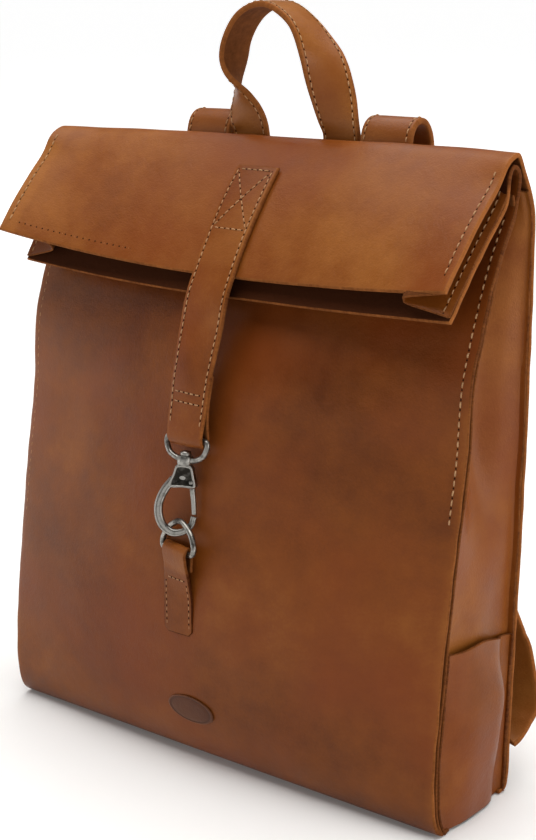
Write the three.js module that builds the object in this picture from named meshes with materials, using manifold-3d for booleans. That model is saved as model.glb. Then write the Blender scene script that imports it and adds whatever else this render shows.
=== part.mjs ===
// A roll-top leather backpack: one long hide for the front and one for the back, with gussets between
// them, the top folded once towards the front and held down by a strap with a swivel snap hook.
// Millimetres. +X is the wearer's right, -Y is the front, +Z is up. The origin is the centre of the base.
import * as THREE from "three";
import { mergeVertices } from "three/addons/utils/BufferGeometryUtils.js";
import Module from "manifold-3d";

const wasm = await Module();
wasm.setup();

// Body
const WIDTH = 310;
const HALF = WIDTH / 2;
const LEATHER = 2.4;
const THIN_LEATHER = 1.3;
const GAP = 0.35;
const BULGE = 17;
const BULGE_TOP = 250;
const GUSSET_X = 149;
const GUSSET_WIDTH = 78;
const GUSSET_TOP = 312;
const FOLD_Y = 40;
const FOLD_Z = 346.5;
const POCKET_FRONT_HEIGHT = 101;
const POCKET_BACK_HEIGHT = 92;
const POCKET_FULLNESS = 8.5;

// Closure
const STRAP_WIDTH = 29;
const STRAP_END_WIDTH = 24.5;
const CHAIN_TOP = new THREE.Vector3(0, -43, 193);
const CHAIN_TILT = 11;
const HOOK_TURN = 28;
const RING_TURN = -13;
const RING_DROP = 62;
const EYE_WIRE = 1.55;
const EYE_HALF = 14;
const RING_WIRE = 1.62;
const RING_HALF = 14.3;
const RING_RISE = 16.5;
const HOOK_WIRE = 2.1;
const POST_RADIUS = 1.9;
const POST_PLAY = 0.2;
const PIN_RADIUS = 0.9;
const PIN_PLAY = 0.15;
const TAB_WIDTH = 20.4;
const TAB_THICKNESS = 1.7;

// Carrying straps
const HANDLE_WIDTH = 25;
const HANDLE_X = 32;
const SHOULDER_WIDTH = 33;
const LOWER_WIDTH = 28;
const SHOULDER_THICKNESS = 4;
const LOWER_THICKNESS = 3.2;
const END_THICKNESS = 3;
const SHOULDER_X = 62.6;
const ANCHOR_X = 141;
const BUCKLE_AT = 0.66;
const TAIL = 62;
const KEEPER_AT = 0.57;
const BUCKLE_HALF = 18.6;
const BUCKLE_LENGTH = 24;
const BUCKLE_WIRE = 1.6;

const SIDES = [[-1, "left"], [1, "right"]];

const lerp = THREE.MathUtils.lerp;
const clamp = THREE.MathUtils.clamp;
const radians = THREE.MathUtils.degToRad;

const cognac = new THREE.MeshStandardMaterial({ color: 0x9a5a2c, roughness: 0.5, metalness: 0 });
const tan = new THREE.MeshStandardMaterial({ color: 0xb0713c, roughness: 0.5, metalness: 0 });
const brown = new THREE.MeshStandardMaterial({ color: 0x6e3d1f, roughness: 0.6, metalness: 0 });
const silver = new THREE.MeshStandardMaterial({ color: 0x8d8a84, roughness: 0.35, metalness: 1 });

const bag = new THREE.Group();

function add(name, geometry, material, parent = bag) {
  const mesh = new THREE.Mesh(geometry, material);
  mesh.name = name;
  parent.add(mesh);
  return mesh;
}

// ---- solids ----

function solidOf(geometry) {
  const bare = geometry.index ? geometry.toNonIndexed() : geometry.clone();
  bare.deleteAttribute("normal");
  bare.deleteAttribute("uv");
  const merged = mergeVertices(bare, 1e-3);
  const vertProperties = new Float32Array(merged.attributes.position.array);
  const triVerts = new Uint32Array(merged.index.array);
  const made = new wasm.Manifold(new wasm.Mesh({ numProp: 3, vertProperties, triVerts }));
  if (made.volume() > 0) return made;
  const flipped = triVerts.map((_, i) => triVerts[i - (i % 3) + 2 - (i % 3)]);
  return new wasm.Manifold(new wasm.Mesh({ numProp: 3, vertProperties, triVerts: flipped }));
}

function geometryOf(solid) {
  const mesh = solid.getMesh();
  const geometry = new THREE.BufferGeometry();
  const position = new THREE.BufferAttribute(new Float32Array(mesh.vertProperties), 3);
  geometry.setAttribute("position", position);
  geometry.setIndex(new THREE.BufferAttribute(new Uint32Array(mesh.triVerts), 1));
  geometry.computeVertexNormals();
  return geometry;
}

// A closed skin over surface(u, v): it runs from low to high millimetres along the surface's normal.
function bentSheet(surface, low, high, acrossSteps, alongSteps) {
  const geometry = new THREE.BoxGeometry(1, 1, 1, acrossSteps, alongSteps, 1);
  const position = geometry.attributes.position;
  const step = 1e-3;
  for (let i = 0; i < position.count; i++) {
    const u = position.getX(i) + 0.5;
    const v = position.getY(i) + 0.5;
    const u0 = clamp(u - step, 0, 1);
    const v0 = clamp(v - step, 0, 1);
    const across = surface(clamp(u + step, 0, 1), v).sub(surface(u0, v));
    const along = surface(u, clamp(v + step, 0, 1)).sub(surface(u, v0));
    const normal = across.cross(along).normalize();
    const offset = lerp(low, high, position.getZ(i) + 0.5);
    const p = surface(u, v).addScaledVector(normal, offset);
    position.setXYZ(i, p.x, p.y, p.z);
  }
  return geometryOf(solidOf(geometry));
}

// A profile in the Y-Z plane, as pairs [y, z].
function profileOf(points) {
  return new THREE.SplineCurve(points.map(([y, z]) => new THREE.Vector2(y, z)));
}

// A band of one width that follows a Y-Z profile; its outer face is on the -Y side where it rises.
function profileBand(points, centreX, width, low, high, steps) {
  const profile = profileOf(points);
  const surface = (u, v) => {
    const p = profile.getPointAt(v);
    return new THREE.Vector3(centreX + (u - 0.5) * width, p.x, p.y);
  };
  return bentSheet(surface, low, high, 1, steps);
}

// A strap along a space curve. turn(v) is the angle of its width about Z, from +X, in degrees.
function strapSurface(curve, width, turn) {
  return (u, v) => {
    const angle = radians(turn(v));
    const tangent = curve.getTangentAt(v);
    const across = new THREE.Vector3(Math.cos(angle), Math.sin(angle), 0);
    across.addScaledVector(tangent, -across.dot(tangent)).normalize();
    return curve.getPointAt(v).addScaledVector(across, (u - 0.5) * width);
  };
}

function curveOf(points, closed = false) {
  return new THREE.CatmullRomCurve3(
    points.map((p) => new THREE.Vector3(...p)),
    closed,
    "centripetal",
  );
}

// A wire bent into a closed loop that lies in its own X-Z plane.
function wireLoop(points, radius, steps, sides) {
  const curve = curveOf(points.map(([x, z]) => [x, 0, z]), true);
  const geometry = new THREE.TorusGeometry(1, 0.1, sides, steps);
  const position = geometry.attributes.position;
  const plane = new THREE.Vector3(0, 1, 0);
  for (let ring = 0; ring <= sides; ring++) {
    for (let i = 0; i <= steps; i++) {
      const along = (i % steps) / steps;
      const around = ((ring % sides) / sides) * 2 * Math.PI;
      const outward = curve.getTangentAt(along).cross(plane).normalize();
      const p = curve.getPointAt(along);
      p.addScaledVector(outward, radius * Math.cos(around));
      p.addScaledVector(plane, radius * Math.sin(around));
      position.setXYZ(ring * (steps + 1) + i, p.x, p.y, p.z);
    }
  }
  return solidOf(geometry);
}

function circle(radius, sides) {
  const shape = new THREE.Shape();
  for (let i = 0; i < sides; i++) {
    const angle = ((i + 0.5) / sides) * 2 * Math.PI;
    const x = radius * Math.cos(angle);
    const y = radius * Math.sin(angle);
    if (i === 0) shape.moveTo(x, y);
    else shape.lineTo(x, y);
  }
  shape.closePath();
  return shape;
}

// A round bar along a curve, with flat ends.
function bar(points, radius, steps, sides) {
  const options = { steps, extrudePath: curveOf(points) };
  return solidOf(new THREE.ExtrudeGeometry(circle(radius, sides), options));
}

// A cylinder from one point to another.
function rod(from, to, radius, sides) {
  const a = new THREE.Vector3(...from);
  const b = new THREE.Vector3(...to);
  const geometry = new THREE.CylinderGeometry(radius, radius, a.distanceTo(b), sides);
  const upright = new THREE.Vector3(0, 1, 0);
  const direction = b.clone().sub(a).normalize();
  geometry.applyQuaternion(new THREE.Quaternion().setFromUnitVectors(upright, direction));
  geometry.translate((a.x + b.x) / 2, (a.y + b.y) / 2, (a.z + b.z) / 2);
  return solidOf(geometry);
}

// A flat outline in the X-Z plane, of one thickness, centred on y.
function plate(points, thickness, y = 0) {
  const shape = new THREE.Shape(points.map(([x, z]) => new THREE.Vector2(x, z)));
  const geometry = new THREE.ExtrudeGeometry(shape, { depth: thickness, bevelEnabled: false });
  geometry.rotateX(Math.PI / 2);
  geometry.translate(0, y + thickness / 2, 0);
  return solidOf(geometry);
}

// ---- body ----

const frontProfile = profileOf([
  [-33, 0], [-36, 40], [-37.5, 92], [-27, 150], [-20, 205], [-17, 238], [8, 290], [27, 319],
]);
const backProfile = profileOf([
  [36, 0], [40, 60], [45, 150], [48.5, 230], [50, 300], [48.5, 334], [44.5, 343.5],
]);

function bulge(x, z) {
  const up = Math.sin((Math.PI * clamp(z, 0, BULGE_TOP)) / BULGE_TOP);
  const across = Math.cos((Math.PI * clamp(x, -HALF, HALF)) / WIDTH);
  return BULGE * Math.pow(Math.max(up, 0), 0.7) * Math.pow(Math.max(across, 0), 0.8);
}

// The y of a profile at a height.
function depthAt(profile, z) {
  let low = 0;
  let high = 1;
  for (let i = 0; i < 24; i++) {
    const middle = (low + high) / 2;
    if (profile.getPoint(middle).y < z) low = middle;
    else high = middle;
  }
  return profile.getPoint((low + high) / 2).x;
}

// The second coordinate of a curve where its first is x.
function heightAt(curve, x) {
  let low = 0;
  let high = 1;
  for (let i = 0; i < 24; i++) {
    const middle = (low + high) / 2;
    if (curve.getPoint(middle).x < x) low = middle;
    else high = middle;
  }
  return curve.getPoint((low + high) / 2).y;
}

function frontSurface(u, v) {
  const p = frontProfile.getPointAt(v);
  const x = (u - 0.5) * WIDTH;
  return new THREE.Vector3(x, p.x - bulge(x, p.y), p.y);
}

function backSurface(u, v) {
  const p = backProfile.getPointAt(v);
  return new THREE.Vector3((0.5 - u) * WIDTH, p.x, p.y);
}

function makeBody() {
  add("front_panel", bentSheet(frontSurface, -LEATHER, 0, 16, 26), cognac);
  add("back_panel", bentSheet(backSurface, -LEATHER, 0, 6, 14), cognac);
  const front = depthAt(frontProfile, 1) + LEATHER + 1;
  const back = depthAt(backProfile, 1) - LEATHER - GAP;
  const base = new THREE.BoxGeometry(2 * GUSSET_X + 4, back - front, LEATHER);
  base.translate(0, (front + back) / 2, LEATHER / 2);
  add("base_panel", geometryOf(solidOf(base)), cognac);
}

// ---- gussets and side pockets ----

// How far a gusset of fixed width folds inwards where front and back are this far apart.
function foldDepth(apart, limit) {
  const half = GUSSET_WIDTH / 2;
  return Math.min(limit, Math.sqrt(Math.max(0, half * half - (apart * apart) / 4)));
}

function gussetSurface(u, v) {
  const z = lerp(LEATHER + GAP, GUSSET_TOP, v);
  const front = depthAt(frontProfile, z) + LEATHER * 1.25 + GAP;
  const back = depthAt(backProfile, z) - LEATHER - GAP;
  const fold = foldDepth(back - front, 13) * clamp((z - 130) / 80, 0, 1);
  const x = GUSSET_X - fold * Math.sin(Math.PI * u);
  return new THREE.Vector3(x, lerp(front, back, u), z);
}

function pocketSurface(u, v) {
  const top = lerp(POCKET_FRONT_HEIGHT, POCKET_BACK_HEIGHT, u) + 2 * Math.sin(Math.PI * u);
  const z = lerp(LEATHER + GAP, top, v);
  const front = depthAt(frontProfile, z) + LEATHER * 1.25 + 3 * GAP;
  const back = depthAt(backProfile, z) - LEATHER - 4 * GAP;
  const x = GUSSET_X + LEATHER + GAP + POCKET_FULLNESS * Math.sin(Math.PI * u) * Math.sqrt(v);
  return new THREE.Vector3(x, lerp(front, back, u), z);
}

function makeSides() {
  for (const [side, name] of SIDES) {
    const group = new THREE.Group();
    group.scale.x = side;
    bag.add(group);
    add(`${name}_gusset`, bentSheet(gussetSurface, 0, LEATHER, 8, 16), cognac, group);
    add(`${name}_side_pocket`, bentSheet(pocketSurface, 0, LEATHER, 8, 6), cognac, group);
  }
}

// ---- inside ----

function makeInnerPocket() {
  const surface = (u, v) => {
    const z = lerp(90, 250, v);
    const full = 9 * Math.sin(Math.PI * u) * Math.sqrt(v);
    const y = depthAt(backProfile, z) - LEATHER - THIN_LEATHER - 1 - full;
    return new THREE.Vector3((u - 0.5) * 230, y, z);
  };
  add("inner_pocket", bentSheet(surface, -THIN_LEATHER, 0, 8, 6), brown);
}

// ---- folded top ----

// The flap's edge hangs lower at the middle, where the strap pulls it, and flares at the ends.
function flapPoint(x, t) {
  const end = (x / HALF) ** 2;
  const edgeY = -21 - (x > 0 ? 15 : 6) * end;
  const edgeZ = 281 + (x > 0 ? 9.5 : 13) * end;
  const start = new THREE.Vector2(FOLD_Y - 2.2, FOLD_Z + 2);
  const edge = new THREE.Vector2(edgeY, edgeZ);
  const middle = start.clone().lerp(edge, 0.45).add(new THREE.Vector2(-3, 6));
  const p = new THREE.QuadraticBezierCurve(start, middle, edge).getPoint(t);
  return new THREE.Vector3(x, p.x, p.y);
}

function lipPoint(x, t) {
  const end = (x / HALF) ** 2;
  const edgeY = -19.5 + (x > 0 ? -4 : 8) * end;
  const edgeZ = 269.5 + 5 * end;
  const start = new THREE.Vector2(30.5, 335.5);
  const edge = new THREE.Vector2(edgeY, edgeZ);
  const middle = start.clone().lerp(edge, 0.5).add(new THREE.Vector2(-1.5, 2));
  const p = new THREE.QuadraticBezierCurve(start, middle, edge).getPoint(t);
  return new THREE.Vector3(x, p.x, p.y);
}

// The gusset inside the folded top, between the flap and the lip, doubled inwards.
function flapGussetSurface(side) {
  return (u, v) => {
    const t = lerp(0.5, 0.97, v);
    const p = flapPoint(side * HALF, t);
    const across = lipPoint(side * HALF, t).sub(p);
    const apart = across.length();
    p.addScaledVector(across.normalize(), lerp(LEATHER + 1.8, apart - 1.2, u));
    p.x = GUSSET_X - Math.min(10, apart * 0.6) * Math.sin(Math.PI * u);
    return p;
  };
}

function makeTop() {
  const flap = (u, v) => flapPoint((u - 0.5) * WIDTH, 1 - v);
  const lip = (u, v) => lipPoint((u - 0.5) * (WIDTH - 2), 1 - v);
  add("flap", bentSheet(flap, -LEATHER, 0, 10, 8), tan);
  add("flap_lip", bentSheet(lip, -LEATHER, 0, 10, 6), cognac);
  for (const [side, name] of SIDES) {
    const group = new THREE.Group();
    group.scale.x = side;
    bag.add(group);
    const gusset = bentSheet(flapGussetSurface(side), -THIN_LEATHER, 0, 6, 5);
    add(`${name}_flap_gusset`, gusset, cognac, group);
  }
}

// ---- closure strap and hardware ----

const hangingStrap = [[-35.4, 232], [-39.8, 208], [-38.9, 197], [-38.9, 193.6], [-40.6, 190.6],
  [-42.8, 189.8], [-45, 190.6], [-46.7, 193.6], [-46.7, 197], [-44.4, 208], [-39.9, 232], [-33, 256],
  [-27.5, 277]];

function makeClosureStrap() {
  const upper = (u, v) => {
    const p = flapPoint(0, lerp(0.985, 0.33, v));
    return new THREE.Vector3((u - 0.5) * STRAP_WIDTH, p.y, p.z);
  };
  add("closure_strap_sewn_end", bentSheet(upper, GAP, GAP + LEATHER, 1, 6), tan);
  const lower = profileOf(hangingStrap);
  const surface = (u, v) => {
    const p = lower.getPointAt(v);
    const width = lerp(STRAP_END_WIDTH, STRAP_WIDTH, clamp((p.y - 190) / 60, 0, 1));
    return new THREE.Vector3((u - 0.5) * width, p.x, p.y);
  };
  add("closure_strap", bentSheet(surface, -LEATHER + 0.6, 0, 1, 40), tan);
}

const chain = new THREE.Group();
chain.position.copy(CHAIN_TOP);
chain.rotation.x = radians(-CHAIN_TILT);
bag.add(chain);

function makeEye() {
  const h = EYE_HALF;
  const outline = [[-h, 0.5], [-h + 3, 1], [0, 1], [h - 3, 1], [h, 0.5], [h, -5], [9, -9.6], [0, -11],
    [-9, -9.6], [-h, -5]];
  const loop = wireLoop(outline, EYE_WIRE, 36, 8);
  const boss = rod([0, 0, -13.6], [0, 0, -8.6], 4.2, 12);
  const bore = rod([0, 0, -20], [0, 0, 0], POST_RADIUS + POST_PLAY + 0.1, 12);
  add("swivel_eye", geometryOf(loop.add(boss).subtract(bore)), silver, chain);
}

function makeHook() {
  const hook = new THREE.Group();
  hook.rotation.z = radians(HOOK_TURN);
  chain.add(hook);
  const head = rod([0, 0, -8.2], [0, 0, -6.2], 3.1, 12);
  const post = rod([0, 0, -15], [0, 0, -7], POST_RADIUS, 12);
  const shoulder = plate([[-4, -14], [4, -14], [7.2, -25], [-7, -25.5]], 6);
  const arm = bar(
    [[-5, 0, -20], [-9.4, 0, -27], [-12.3, 0, -35], [-12, 0, -41.5], [-8.8, 0, -48.4], [-3, 0, -51.6],
      [3.4, 0, -50], [7.1, 0, -45.8], [7.8, 0, -41.2]],
    HOOK_WIRE, 30, 8,
  );
  const slot = plate([[2.4, -19.6], [9, -19.6], [9, -28], [2.4, -28]], 3);
  const pinHole = rod([5, -5, -22.6], [5, 5, -22.6], PIN_RADIUS + PIN_PLAY, 10);
  const body = head.add(post).add(shoulder).add(arm).subtract(slot).subtract(pinHole);
  add("hook_body", geometryOf(body), silver, hook);
  const knuckle = rod([5, -1.2, -22.6], [5, 1.2, -22.6], 2.1, 12);
  const blade = plate([[3.6, -22.6], [6.6, -22.6], [9.3, -40.6], [6.2, -40.6]], 2.4);
  const bladeHole = rod([5, -5, -22.6], [5, 5, -22.6], PIN_RADIUS + PIN_PLAY, 10);
  add("hook_gate", geometryOf(knuckle.add(blade).subtract(bladeHole)), silver, hook);
  add("gate_pin", geometryOf(rod([5, -2.9, -22.6], [5, 2.9, -22.6], PIN_RADIUS, 10)), silver, hook);
}

function makeRing() {
  const group = new THREE.Group();
  group.position.set(0, 0, -RING_DROP);
  group.rotation.z = radians(RING_TURN);
  chain.add(group);
  const h = RING_HALF;
  const outline = [[-h + 1.4, 0.1], [-h + 2.8, 0], [-6, 0], [0, 0], [6, 0], [h - 2.8, 0], [h - 1.4, 0.1],
    [h, 1.8], [h - 0.6, 6], [9, RING_RISE - 4.2], [0, RING_RISE], [-9, RING_RISE - 4.2], [-h + 0.6, 6],
    [-h, 1.8]];
  add("d_ring", geometryOf(wireLoop(outline, RING_WIRE, 48, 8)), silver, group);
}

function makeTab() {
  const profile = profileOf([[-55.6, 84], [-55.4, 104], [-56.4, 118], [-58.7, 128], [-58.9, 132.6],
    [-56.9, 135.4], [-54.9, 136.2], [-52.9, 135.4], [-50.9, 132.6], [-51, 128]]);
  const skew = Math.tan(radians(RING_TURN));
  const surface = (u, v) => {
    const p = profile.getPointAt(v);
    const x = (u - 0.5) * TAB_WIDTH;
    return new THREE.Vector3(x, p.x + x * skew * clamp((p.y - 108) / 16, 0, 1), p.y);
  };
  add("ring_tab", bentSheet(surface, -TAB_THICKNESS, 0, 2, 30), cognac);
}

function makeBadge() {
  const surface = (u, v) => {
    const angle = 2 * Math.PI * u;
    const x = 16.5 * v * Math.cos(angle);
    const z = 37.5 + 8.5 * v * Math.sin(angle);
    const y = depthAt(frontProfile, z) - bulge(x, z) - GAP;
    return new THREE.Vector3(x, y, z);
  };
  const geometry = new THREE.CylinderGeometry(1, 1, 1, 24, 1);
  const position = geometry.attributes.position;
  for (let i = 0; i < position.count; i++) {
    const radius = Math.hypot(position.getX(i), position.getZ(i));
    const angle = Math.atan2(position.getZ(i), position.getX(i)) / (2 * Math.PI);
    const p = surface(angle, radius);
    p.y -= position.getY(i) > 0 ? 1 : 0;
    position.setXYZ(i, p.x, p.y, p.z);
  }
  add("oval_badge", geometryOf(solidOf(geometry)), brown);
}

// ---- top handle ----

const handleCurve = curveOf([[-HANDLE_X, 48.7, 356.4], [-32.4, 48.6, 363], [-38.5, 48, 379], [-37.5, 46.5, 400],
  [-27, 46, 416], [-11, 46, 422.5], [5, 46, 415], [17.5, 46, 398], [27, 47.4, 376], [31.6, 48.6, 363],
  [HANDLE_X, 48.7, 356.4]]);

function handleTurn(v) {
  if (v < 0.2) return lerp(180, 90, v / 0.2);
  if (v > 0.8) return lerp(90, 0, (v - 0.8) / 0.2);
  return 90;
}

function makeHandle() {
  const surface = strapSurface(handleCurve, HANDLE_WIDTH, handleTurn);
  add("top_handle", bentSheet(surface, -1.6, 1.6, 1, 36), tan);
  for (const [x, name] of [[-HANDLE_X, "left"], [HANDLE_X, "right"]]) {
    const profile = [[53.6, 306], [52.6, 334], [51.4, 344], [50.6, 350.4]];
    const band = profileBand(profile, x, HANDLE_WIDTH, 0, END_THICKNESS, 6);
    add(`${name}_handle_end`, band, tan);
  }
}

// ---- shoulder straps ----

const shoulderCurve = curveOf([[SHOULDER_X, 69, 340], [63, 77, 316], [67, 85, 270], [77, 87, 212],
  [94, 83, 156], [115, 75, 106], [134, 66, 71], [ANCHOR_X, 60.5, 55]]);

// A group whose X is the strap's width, Y its outer face and Z up the strap, at a share of its length.
function placeOnStrap(v) {
  const down = shoulderCurve.getTangentAt(v);
  const across = new THREE.Vector3(1, 0, 0);
  across.addScaledVector(down, -across.dot(down)).normalize();
  const up = down.clone().negate();
  const outward = new THREE.Vector3().crossVectors(up, across).normalize();
  const basis = new THREE.Matrix4().makeBasis(across, outward, up);
  const group = new THREE.Group();
  group.position.copy(shoulderCurve.getPointAt(v));
  group.quaternion.setFromRotationMatrix(basis);
  return group;
}

// How far the lower strap lies out from the shoulder strap's line, at a distance past the buckle's bar:
// on the shoulder strap, over the bar, behind the roller, then back to the line.
const threading = new THREE.SplineCurve([
  new THREE.Vector2(-TAIL, 3.9), new THREE.Vector2(-34, 3.9), new THREE.Vector2(-10, 4),
  new THREE.Vector2(0, 6.2), new THREE.Vector2(12, 0.6), new THREE.Vector2(24, -5), new THREE.Vector2(36, -3),
  new THREE.Vector2(56, 0),
]);

function lowerStrapSurface() {
  const length = shoulderCurve.getLength();
  const start = BUCKLE_AT * length - TAIL;
  const end = 0.99 * length;
  return (u, v) => {
    const share = lerp(start, end, v) / length;
    const past = lerp(start, end, v) - BUCKLE_AT * length;
    const frame = placeOnStrap(share);
    const out = past > 56 ? 0 : heightAt(threading, past);
    return new THREE.Vector3((0.5 - u) * -LOWER_WIDTH, out, 0).applyQuaternion(frame.quaternion)
      .add(frame.position);
  };
}

function makeBuckle(name, group) {
  const buckle = placeOnStrap(BUCKLE_AT);
  group.add(buckle);
  const h = BUCKLE_HALF;
  const l = BUCKLE_LENGTH;
  const outline = [[-h, -1.4], [-h + 1.4, 0], [-6, 0], [6, 0], [h - 1.4, 0], [h, -1.4], [h, -l + 1.4],
    [h - 1.4, -l], [6, -l], [-6, -l], [-h + 1.4, -l], [-h, -l + 1.4]];
  add(`${name}_buckle_frame`, geometryOf(wireLoop(outline, BUCKLE_WIRE, 44, 8)), silver, buckle);
  const bush = rod([-12, 0, -l], [12, 0, -l], BUCKLE_WIRE + 1.3, 12);
  const bore = rod([-13, 0, -l], [13, 0, -l], BUCKLE_WIRE + 0.35, 12);
  add(`${name}_buckle_roller`, geometryOf(bush.subtract(bore)), silver, buckle);
  const hub = rod([-2, 0, 0], [2, 0, 0], BUCKLE_WIRE + 1.4, 12);
  const hubBore = rod([-3, 0, 0], [3, 0, 0], BUCKLE_WIRE + 0.3, 12);
  const prong = bar([[0, 2.2, 0], [0, 4.6, -6], [0, 5, -14], [0, 4.9, -l - 1.5]], 1.1, 8, 8);
  add(`${name}_buckle_prong`, geometryOf(hub.add(prong).subtract(hubBore)), silver, buckle);
}

function makeLowerStrap(name, group) {
  const half = LOWER_THICKNESS / 2;
  const strap = solidOf(bentSheet(lowerStrapSurface(), -half, half, 1, 40));
  const hole = new THREE.BoxGeometry(5, 16, 12.4);
  hole.translate(0, 4, -5);
  const at = placeOnStrap(BUCKLE_AT);
  at.updateMatrix();
  hole.applyMatrix4(at.matrix);
  add(`${name}_lower_strap`, geometryOf(strap.subtract(solidOf(hole))), tan, group);
}

// A leather loop round the shoulder strap and the lower strap's tail.
function makeKeeper(name, group) {
  const keeper = placeOnStrap(KEEPER_AT);
  group.add(keeper);
  const wall = 1.6;
  const high = 6.6;
  const low = -3;
  const width = SHOULDER_WIDTH + 1.6;
  const outer = new THREE.BoxGeometry(width + 2 * wall, high - low + 2 * wall, 11);
  const inner = new THREE.BoxGeometry(width, high - low, 13);
  outer.translate(0, (high + low) / 2, 0);
  inner.translate(0, (high + low) / 2, 0);
  add(`${name}_strap_keeper`, geometryOf(solidOf(outer).subtract(solidOf(inner))), tan, keeper);
}

function makeShoulderStraps() {
  for (const [side, name] of SIDES) {
    const group = new THREE.Group();
    group.scale.x = side;
    bag.add(group);
    const arch = [[53.5, 304], [53, 328], [50.2, 345], [53.4, 356.6], [60, 359.6], [66.2, 356],
      [69, 346]];
    const band = profileBand(arch, SHOULDER_X, SHOULDER_WIDTH, 0.2, 0.2 + END_THICKNESS, 26);
    add(`${name}_strap_arch`, band, tan, group);
    const whole = strapSurface(shoulderCurve, SHOULDER_WIDTH, () => 0);
    const upper = (u, v) => whole(u, v * (BUCKLE_AT - 0.014));
    const shoulder = bentSheet(upper, -SHOULDER_THICKNESS / 2, SHOULDER_THICKNESS / 2, 1, 26);
    add(`${name}_shoulder_strap`, shoulder, tan, group);
    makeLowerStrap(name, group);
    makeBuckle(name, group);
    makeKeeper(name, group);
    const anchorLine = [[40.2, 14], [42.4, 28], [49, 41], [57, 50]];
    const anchor = profileBand(anchorLine, ANCHOR_X, LOWER_WIDTH, -LOWER_THICKNESS, 0, 8);
    add(`${name}_lower_anchor`, anchor, tan, group);
  }
}

makeBody();
makeSides();
makeInnerPocket();
makeTop();
makeClosureStrap();
makeEye();
makeHook();
makeRing();
makeTab();
makeBadge();
makeHandle();
makeShoulderStraps();

export default bag;
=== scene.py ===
"""A roll-top leather backpack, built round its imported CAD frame. Millimetres until a mesh is made, then metres.
+X is the wearer's right, -Y is the front, +Z is up."""

import math

import bpy
import numpy as np
from mathutils import Matrix, Vector


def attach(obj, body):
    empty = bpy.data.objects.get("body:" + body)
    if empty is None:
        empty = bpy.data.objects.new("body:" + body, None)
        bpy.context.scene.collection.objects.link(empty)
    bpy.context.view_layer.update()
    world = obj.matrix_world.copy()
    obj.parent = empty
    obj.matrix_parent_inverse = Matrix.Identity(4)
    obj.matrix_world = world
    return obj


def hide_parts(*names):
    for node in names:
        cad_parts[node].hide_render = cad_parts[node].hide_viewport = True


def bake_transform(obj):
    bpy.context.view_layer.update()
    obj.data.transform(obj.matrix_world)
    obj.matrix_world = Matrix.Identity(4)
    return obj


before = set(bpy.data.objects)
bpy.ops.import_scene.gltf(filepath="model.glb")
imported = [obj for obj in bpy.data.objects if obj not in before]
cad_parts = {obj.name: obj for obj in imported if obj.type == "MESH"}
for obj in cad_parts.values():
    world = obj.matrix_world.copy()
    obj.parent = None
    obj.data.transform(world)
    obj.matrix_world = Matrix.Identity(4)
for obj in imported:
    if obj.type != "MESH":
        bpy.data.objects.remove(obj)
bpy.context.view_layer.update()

MM = 0.001
HALF = 155.0  # half the bag's width, over its cut edges
HIDE = 2.4  # thickness of the front, the back and the closure strap
GUSSET = 1.6  # thickness of the gussets and side pockets
SEAM = 5.0  # from a hide's cut edge to its stitches
PITCH = 5.0  # from one stitch to the next
ASIDE = -4.5  # how far the closure strap and its metal hang off the middle
SIDES = ((-1, "left"), (1, "right"))

# ---- curves and noise ----


def lerp(a, b, t):
    return a + (b - a) * t


def unit(v):
    return v / np.maximum(np.linalg.norm(v, axis=-1, keepdims=True), 1e-9)


def spline(points, per=16, closed=False):
    """Dense points of a Catmull-Rom curve through the given ones."""
    p = np.asarray(points, float)
    if closed:
        p = np.vstack([p[-1:], p, p[:2]])
    else:
        p = np.vstack([2 * p[0] - p[1], p, 2 * p[-1] - p[-2]])
    t = np.linspace(0, 1, per, endpoint=False)[:, None]
    found = [
        0.5 * (2 * b + (c - a) * t + (2 * a - 5 * b + 4 * c - d) * t**2 + (3 * b - a - 3 * c + d) * t**3)
        for a, b, c, d in zip(p[:-3], p[1:-2], p[2:-1], p[3:])
    ]
    if not closed:
        found.append(p[-2:-1])
    return np.vstack(found)


def lengths(line):
    return np.r_[0, np.cumsum(np.linalg.norm(np.diff(line, axis=0), axis=1))]


def at_lengths(line, where):
    s = lengths(line)
    return np.stack([np.interp(where, s, line[:, k]) for k in range(line.shape[1])], 1)


def at_shares(line, shares):
    return at_lengths(line, shares * lengths(line)[-1])


def resample(line, count, closed=False):
    if closed:
        line = np.vstack([line, line[:1]])
    where = np.linspace(0, lengths(line)[-1], count, endpoint=not closed)
    return at_lengths(line, where)


BEND_WEIGHT = 14.0
WAVES = 9  # in a ripple


def bend_shares(line, count):
    """Shares of a line's length, closer together where it bends."""
    fine = resample(line, 600)
    turn = np.linalg.norm(np.diff(unit(np.diff(fine, axis=0)), axis=0), axis=1)
    step = lengths(fine)[-1] / 599
    density = 1 + BEND_WEIGHT * np.convolve(np.r_[turn[0], turn, turn[-1]] / step, np.ones(15) / 15, "same")
    s = np.r_[0, np.cumsum((density[1:] + density[:-1]) / 2)]
    s /= s[-1]
    return np.interp(np.linspace(0, 1, count), s, np.linspace(0, 1, len(s)))


def ripple(points, size, seed):
    """Smooth noise from -1 to 1 over space, with features of about the given size."""
    rng = np.random.default_rng(seed)
    total = np.zeros(points.shape[:-1])
    for _ in range(WAVES):
        way = unit(rng.normal(size=3)) * 2 * math.pi / (size * rng.uniform(0.7, 1.6))
        total += np.sin(points @ way + rng.uniform(0, 2 * math.pi))
    return total / (WAVES**0.5 * 1.6)


def edge_spaced(half, count, strength=62.0):
    """Positions from -half to half, closer together near both ends."""
    limit = math.radians(strength)
    return half * np.sin(np.linspace(-limit, limit, count)) / math.sin(limit)


def smooth(t):
    t = np.clip(t, 0, 1)
    return t * t * (3 - 2 * t)


def curve(points, count, per=12, closed=False):
    """Evenly spaced points of a smooth line through the given ones."""
    return resample(spline(points, per, closed), count, closed)


# ---- meshes ----


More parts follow.
